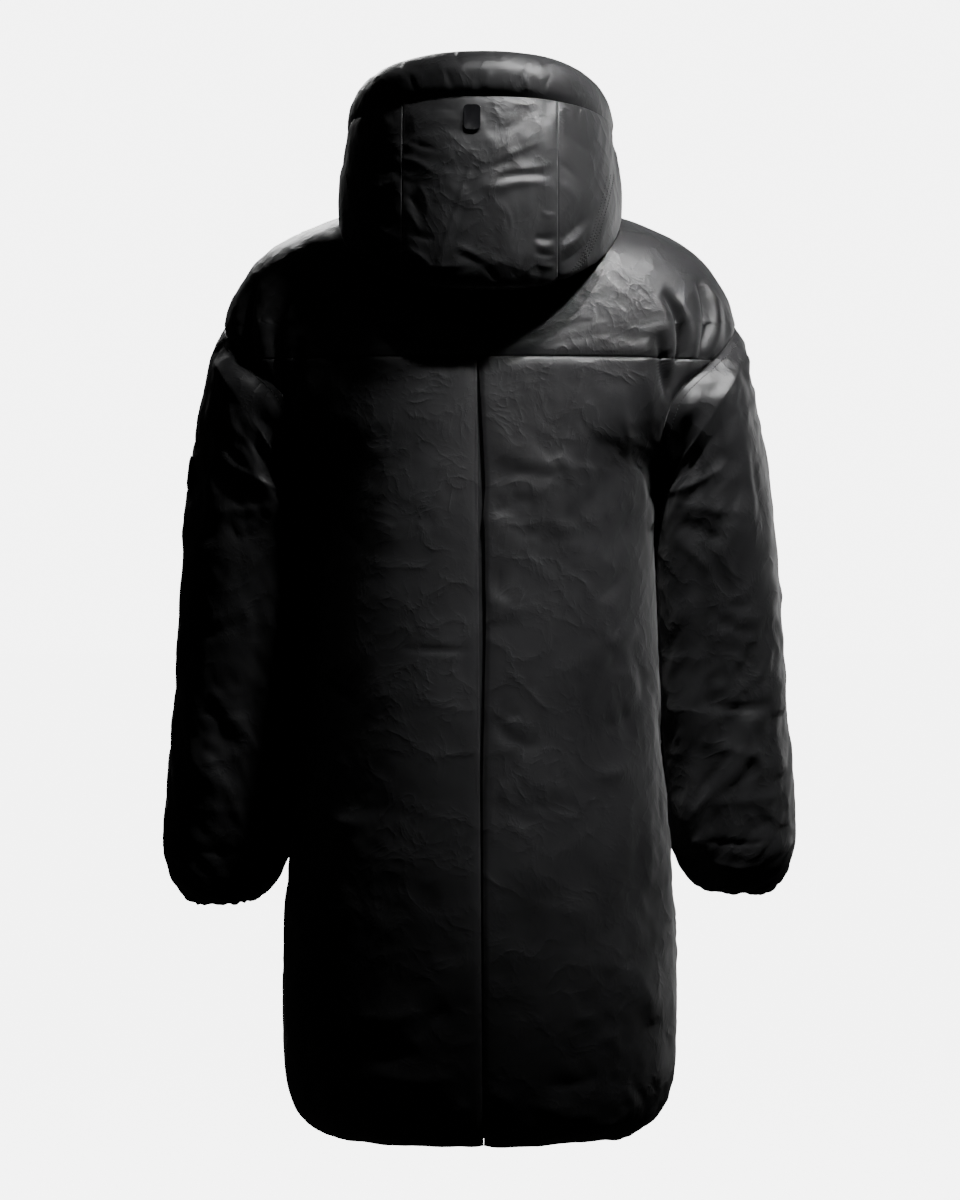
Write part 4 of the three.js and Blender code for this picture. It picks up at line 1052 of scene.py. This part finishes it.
def hood_side(side):
    name = SIDE_NAMES[side]
    flat = (0.33, 0.26)

    def zip_angle(at):
        row = smooth_row(HOOD, at)
        return (math.pi - angle_across(ZIP_CHANNEL, row["half"])) * side

    lay = hood_lay(lambda at: gusset_angle(at) * side, zip_angle)
    panel = Panel(steps(HOOD_SIDE_WIDTH, HOOD_STEP), steps(HOOD_SIDE_HEIGHT, HOOD_STEP), lay)
    panel.lift += fold_lift(HOOD_FOLDS, panel.points, panel.normals)
    distances = panel.edge_distances()
    panel.pad(75 + side, ("start", "end", "head"), 0.65)
    panel.lift *= ease(distances["foot"][0], 5, 40) * ease(distances["end"][0], 0, 20)
    panel.sew(
        ("head", "start"), 77 + side, pinch=HOOD_PINCH, reach_of_pinch=HOOD_PINCH_REACH,
        butted=("start",))
    piece = panel.make(f"hood_side_{name}_cloth", HOOD_WALL, flat, SHELL)
    SEWING.beside(panel, ("end", ZIP_STITCH_REACH))
    sew_hood_rows(piece, side)
    declare(f"hood_side_{name}")


def hood_brim():
    flat = (0.88, 0.078)

    def lay(across, along):
        at = along * BRIM_END
        row = smooth_row(BRIM, at)
        zip_angle = math.pi - angle_across(ZIP_CHANNEL, row["half"])
        angle = zip_angle * (2 * across - 1)
        near = np.exp(-((along / 0.15) ** 2))[:, None]
        normals = loop_normals(BRIM, at, angle) * (1 - near) + brim_seam_normals(angle) * near
        return loop_points(BRIM, at, angle), unit(normals)

    panel = Panel(steps(BRIM_LENGTH, HOOD_STEP), steps(BRIM_WIDTH, HOOD_STEP), lay)
    distances = panel.edge_distances()
    zip_away = ease(np.minimum(distances["start"][0], distances["end"][0]), 0, 30)
    panel.lift += panel.slack(81, 0.3) * zip_away * ease(distances["foot"][0], 0, 12)
    panel.lift += fold_lift(BRIM_FOLDS, panel.points, panel.normals) * zip_away
    gathers = pucker_lift(distances["foot"][0], distances["foot"][1], 83)
    panel.lift += 0.6 * gathers * zip_away * ease(distances["foot"][0], 0, 3)
    panel.lift -= HOOD_PINCH * np.exp(-((distances["foot"][0] / HOOD_PINCH_REACH) ** 2))
    panel.close_seams(("foot",))
    piece = panel.make("hood_brim_cloth", HOOD_WALL, flat, SHELL)
    SEWING.beside(panel, ("start", ZIP_STITCH_REACH), ("end", ZIP_STITCH_REACH))
    declare("hood_brim")


def pleat_underlay():
    flat = (0.072, 0.8)
    half, wall, clear, set_back = 36, 3, 0.6, 1.5
    place, length = row_places(0, YOKE_SEAM)

    def lay(across, along):
        at = place(along)
        row = smooth_row(BODY, at)
        angle = angle_across(half * (2 * across - 1), row["half"])
        return loop_points(BODY, at, angle), loop_normals(BODY, at, angle)

    panel = Panel(8, steps(length), lay)
    reach = BODY["backZ"][YOKE_SEAM] - panel.points[:, 2]
    pinch = SEAM_PINCH * np.exp(-((reach / SEAM_PINCH_REACH) ** 2))
    panel.lift -= BODY_WALL + clear + set_back + pinch
    piece = panel.make("pleat_underlay_cloth", wall, flat, SHELL)
    declare("back_pleat_underlay")


def sleeve_patch():
    """A blank stitched patch on the outside of the left sleeve."""
    wall, high, low, turn = 3, -245, -279, 0.42
    groove_in, groove_width, groove_depth, edge_round = 3, 0.9, 0.9, 0.8
    flat = (0.09, 0.036)

    def lay(across, along):
        height = high + (low - high) * along
        at = np.interp(-height, -SLEEVE["outerZ"], np.arange(CUFF + 1))
        around = turn * (2 * across - 1)
        points = sleeve_section(at, around, LEFT)
        step = 0.05
        up = sleeve_section(at - step, around, LEFT) - points
        over = sleeve_section(at, around + step, LEFT) - points
        normals = unit(np.cross(over, up))
        return points, normals * np.sign(normals[:, :1])

    panel = Panel(30, 12, lay)
    reach = np.min([d[0] for d in panel.edge_distances().values()], axis=0)
    groove = groove_depth * np.exp(-(((reach - groove_in) / groove_width) ** 2))
    panel.lift += SEAM_GAP + wall - groove - edge_round * np.exp(-reach)
    piece = panel.make("sleeve_patch_cloth", wall, flat, PATCH)
    SEWING.beside(panel, *((edge, PATCH_STITCH_REACH) for edge in ("start", "end", "foot", "head")))
    declare("sleeve_patch")


def rounded_plate(shape, width, height, corner, thick):
    """An upright plate in X and Z with round corners, its back at Y = 0."""
    bmesh.ops.create_cube(shape, size=1)
    bmesh.ops.scale(shape, verts=shape.verts, vec=(width, thick, height))
    uprights = [e for e in shape.edges if abs(e.verts[0].co.y - e.verts[1].co.y) > thick / 2]
    bmesh.ops.bevel(
        shape, geom=uprights, offset=corner, affect="EDGES", segments=6, profile=0.5, material=-1)


def hood_tab():
    """A plain glossy tab with a raised rim near the top of the hood's middle panel."""
    low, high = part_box("hood_tab")
    middle = (Vector(low) + Vector(high)) / 2
    width, height, corner, thick = 17 * MM, 27 * MM, 5 * MM, 2 * MM
    rim_width, sunk, edge_round = 2.2 * MM, 0.7 * MM, 0.35 * MM
    at, across = np.array([7.15]), np.array([8])
    angle = angle_across(across, smooth_row(HOOD, at)["half"])
    normal = Vector(loop_normals(HOOD, at, angle)[0])
    tilt = math.atan2(normal.z, normal.y)
    shape = bmesh.new()
    rounded_plate(shape, width, height, corner, thick)
    face = max(shape.faces, key=lambda f: f.normal.y)
    bmesh.ops.inset_region(shape, faces=[face], thickness=rim_width, use_even_offset=True)
    bmesh.ops.translate(shape, verts=face.verts, vec=(0, -sunk, 0))
    sharp = [e for e in shape.edges if e.calc_face_angle(0) > 0.6]
    bmesh.ops.bevel(
        shape, geom=sharp, offset=edge_round, affect="EDGES", segments=2, profile=0.5, material=-1)
    bmesh.ops.rotate(
        shape, verts=shape.verts, cent=(0, 0, 0), matrix=turn_x(tilt))
    bmesh.ops.translate(shape, verts=shape.verts, vec=middle)
    piece = piece_from(shape, "hood_tab_moulding", GLOSS)
    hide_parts("hood_tab")


def turn_x(angle):
    return Matrix.Rotation(angle, 3, "X")


def piece_from(shape, name, material, body="garment"):
    mesh = bpy.data.meshes.new(name)
    shape.to_mesh(mesh)
    shape.free()
    mesh.shade_smooth()
    piece = bpy.data.objects.new(name, mesh)
    bpy.context.collection.objects.link(piece)
    piece.data.materials.append(material)
    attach(piece, body)
    return piece


def zip_line():
    """The middle of the zip, from above the hem up to the chin, at the face of its tapes."""
    parts, count = [], 120
    for rows, first, last in ((BODY, ZIP_FOOT, NECK - 1), (HOOD, 1, HOOD_TOP), (BRIM, 1, 2)):
        at = np.linspace(first, last, count)
        angle = np.full(count, math.pi)
        points = loop_points(rows, at, angle)
        normals = loop_normals(rows, at, angle)
        parts.append(points - normals * ZIP_TAPE_DEPTH)
    return np.concatenate(parts)


def zip_teeth():
    """Interlocked teeth over the gap between the tapes, one box for each, left and right in turn."""
    pitch, width, height, thick = 1.7, 4.4, 1.45, 1.5
    stagger, proud, slider_room = 0.55, 0.2, 0.5
    line = zip_line()
    along = run_along(line)
    count = int(along[-1] / pitch)
    shape = bmesh.new()
    slider_low, slider_high = (v[2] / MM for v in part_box("zip_slider"))
    for number in range(count):
        place = (number + 0.5) * pitch
        here = place_on(line, along, place)
        if slider_low - slider_room < here[2] < slider_high + slider_room:
            continue
        ahead = place_on(line, along, place + 1) - here
        side = LEFT if number % 2 else RIGHT
        made = bmesh.ops.create_cube(shape, size=1)["verts"]
        bmesh.ops.scale(shape, verts=made, vec=(width * MM, thick * MM, height * MM))
        bmesh.ops.rotate(
            shape, verts=made, cent=(0, 0, 0), matrix=turn_x(-math.atan2(ahead[1], ahead[2])))
        bmesh.ops.translate(
            shape, verts=made, vec=Vector((side * stagger, here[1] - proud, here[2])) * MM)
    piece = piece_from(shape, "zip_teeth", METAL)
    piece.data.shade_flat()


def finish_cad_nodes():
    looks = {"zip_tape_left": TAPE, "zip_tape_right": TAPE, "zip_slider": METAL, "zip_pull": METAL}
    for node, material in looks.items():
        piece = bpy.data.objects[node]
        for slot in piece.material_slots:
            slot.material = material


def aim_lamp(name, data, place, target, power_w):
    data.energy = power_w
    lamp = bpy.data.objects.new(name, data)
    lamp.location = place
    lamp.rotation_euler = (Vector(target) - Vector(place)).to_track_quat("-Z", "Y").to_euler()
    bpy.context.collection.objects.link(lamp)


def area_light(name, place, target, size, power_w, spread_degrees=180):
    data = bpy.data.lights.new(name, "AREA")
    data.shape = "DISK"
    data.size = size
    data.spread = math.radians(spread_degrees)
    aim_lamp(name, data, place, target, power_w)


def beam_light(name, place, target, cone_degrees, soft_edge, power_w):
    data = bpy.data.lights.new(name, "SPOT")
    data.spot_size = math.radians(cone_degrees)
    data.spot_blend = soft_edge
    data.shadow_soft_size = 0.05
    aim_lamp(name, data, place, target, power_w)


def studio():
    """A pale floor, a key light and a beam high on the right, and weaker light in front."""
    floor_z, floor_size, glow = -1.42, 60, 5.9
    air, backdrop = 0.008, 6.0
    shape = bmesh.new()
    bmesh.ops.create_grid(shape, x_segments=1, y_segments=1, size=floor_size)
    bmesh.ops.translate(shape, verts=shape.verts, vec=(0, 0, floor_z))
    mesh = bpy.data.meshes.new("floor")
    shape.to_mesh(mesh)
    shape.free()
    floor = bpy.data.objects.new("floor", mesh)
    bpy.context.collection.objects.link(floor)
    floor.visible_glossy = False
    floor.visible_diffuse = False
    material = bpy.data.materials.new("pale_floor")
    material.use_nodes = True
    paint = material.node_tree.nodes["Principled BSDF"]
    paint.inputs["Base Color"].default_value = (0.9, 0.9, 0.9, 1)
    paint.inputs["Roughness"].default_value = 0.9
    paint.inputs["Emission Color"].default_value = (1, 1, 1, 1)
    paint.inputs["Emission Strength"].default_value = glow
    floor.data.materials.append(material)

    world = bpy.data.worlds.new("studio_air")
    bpy.context.scene.world = world
    world.use_nodes = True
    tree = world.node_tree
    back = tree.nodes["Background"]
    back.inputs["Color"].default_value = (1, 1, 1, 1)
    path = tree.nodes.new("ShaderNodeLightPath")
    dim = tree.nodes.new("ShaderNodeMapRange")
    dim.inputs["To Min"].default_value = air
    dim.inputs["To Max"].default_value = backdrop
    tree.links.new(path.outputs["Is Camera Ray"], dim.inputs["Value"])
    tree.links.new(dim.outputs["Result"], back.inputs["Strength"])

    area_light("key", (-1.08, 0.84, 1.59), (-0.12, 0.12, 0.1), 0.24, 2.0, 30)
    beam_light("back_beam", (-0.44, 1.18, 2.15), (-0.17, 0.16, -0.12), 11, 0.35, 520)
    area_light("fill", (0.9, 3.0, 0.2), (0, 0, -0.4), 1.8, 0.35)
    area_light("front_key", (0.7, -2.4, 1.3), (0, 0, -0.3), 0.9, 40)
    area_light("front_fill", (-2.0, -2.2, 0.0), (0, 0, -0.5), 1.6, 6)


def camera():
    """The photograph's view: level, from behind, at the coat's middle height."""
    distance, height, seen = 3.5, -0.394, 1.26
    data = bpy.data.cameras.new("camera")
    data.sensor_fit = "VERTICAL"
    data.sensor_height = 24
    data.lens = data.sensor_height * distance / seen
    eye = bpy.data.objects.new("camera", data)
    eye.location = (0, distance, height)
    eye.rotation_euler = (math.pi / 2, 0, math.pi)
    bpy.context.collection.objects.link(eye)
    bpy.context.scene.camera = eye


back_yoke()
pleat_underlay()
hood_centre()
hood_brim()
for side in (LEFT, RIGHT):
    back_panel(side)
    front_panel(side)
    sleeve(side)
    hood_side(side)
sleeve_patch()
hood_tab()
SEWING.finish()
zip_teeth()
finish_cad_nodes()
studio()
camera()
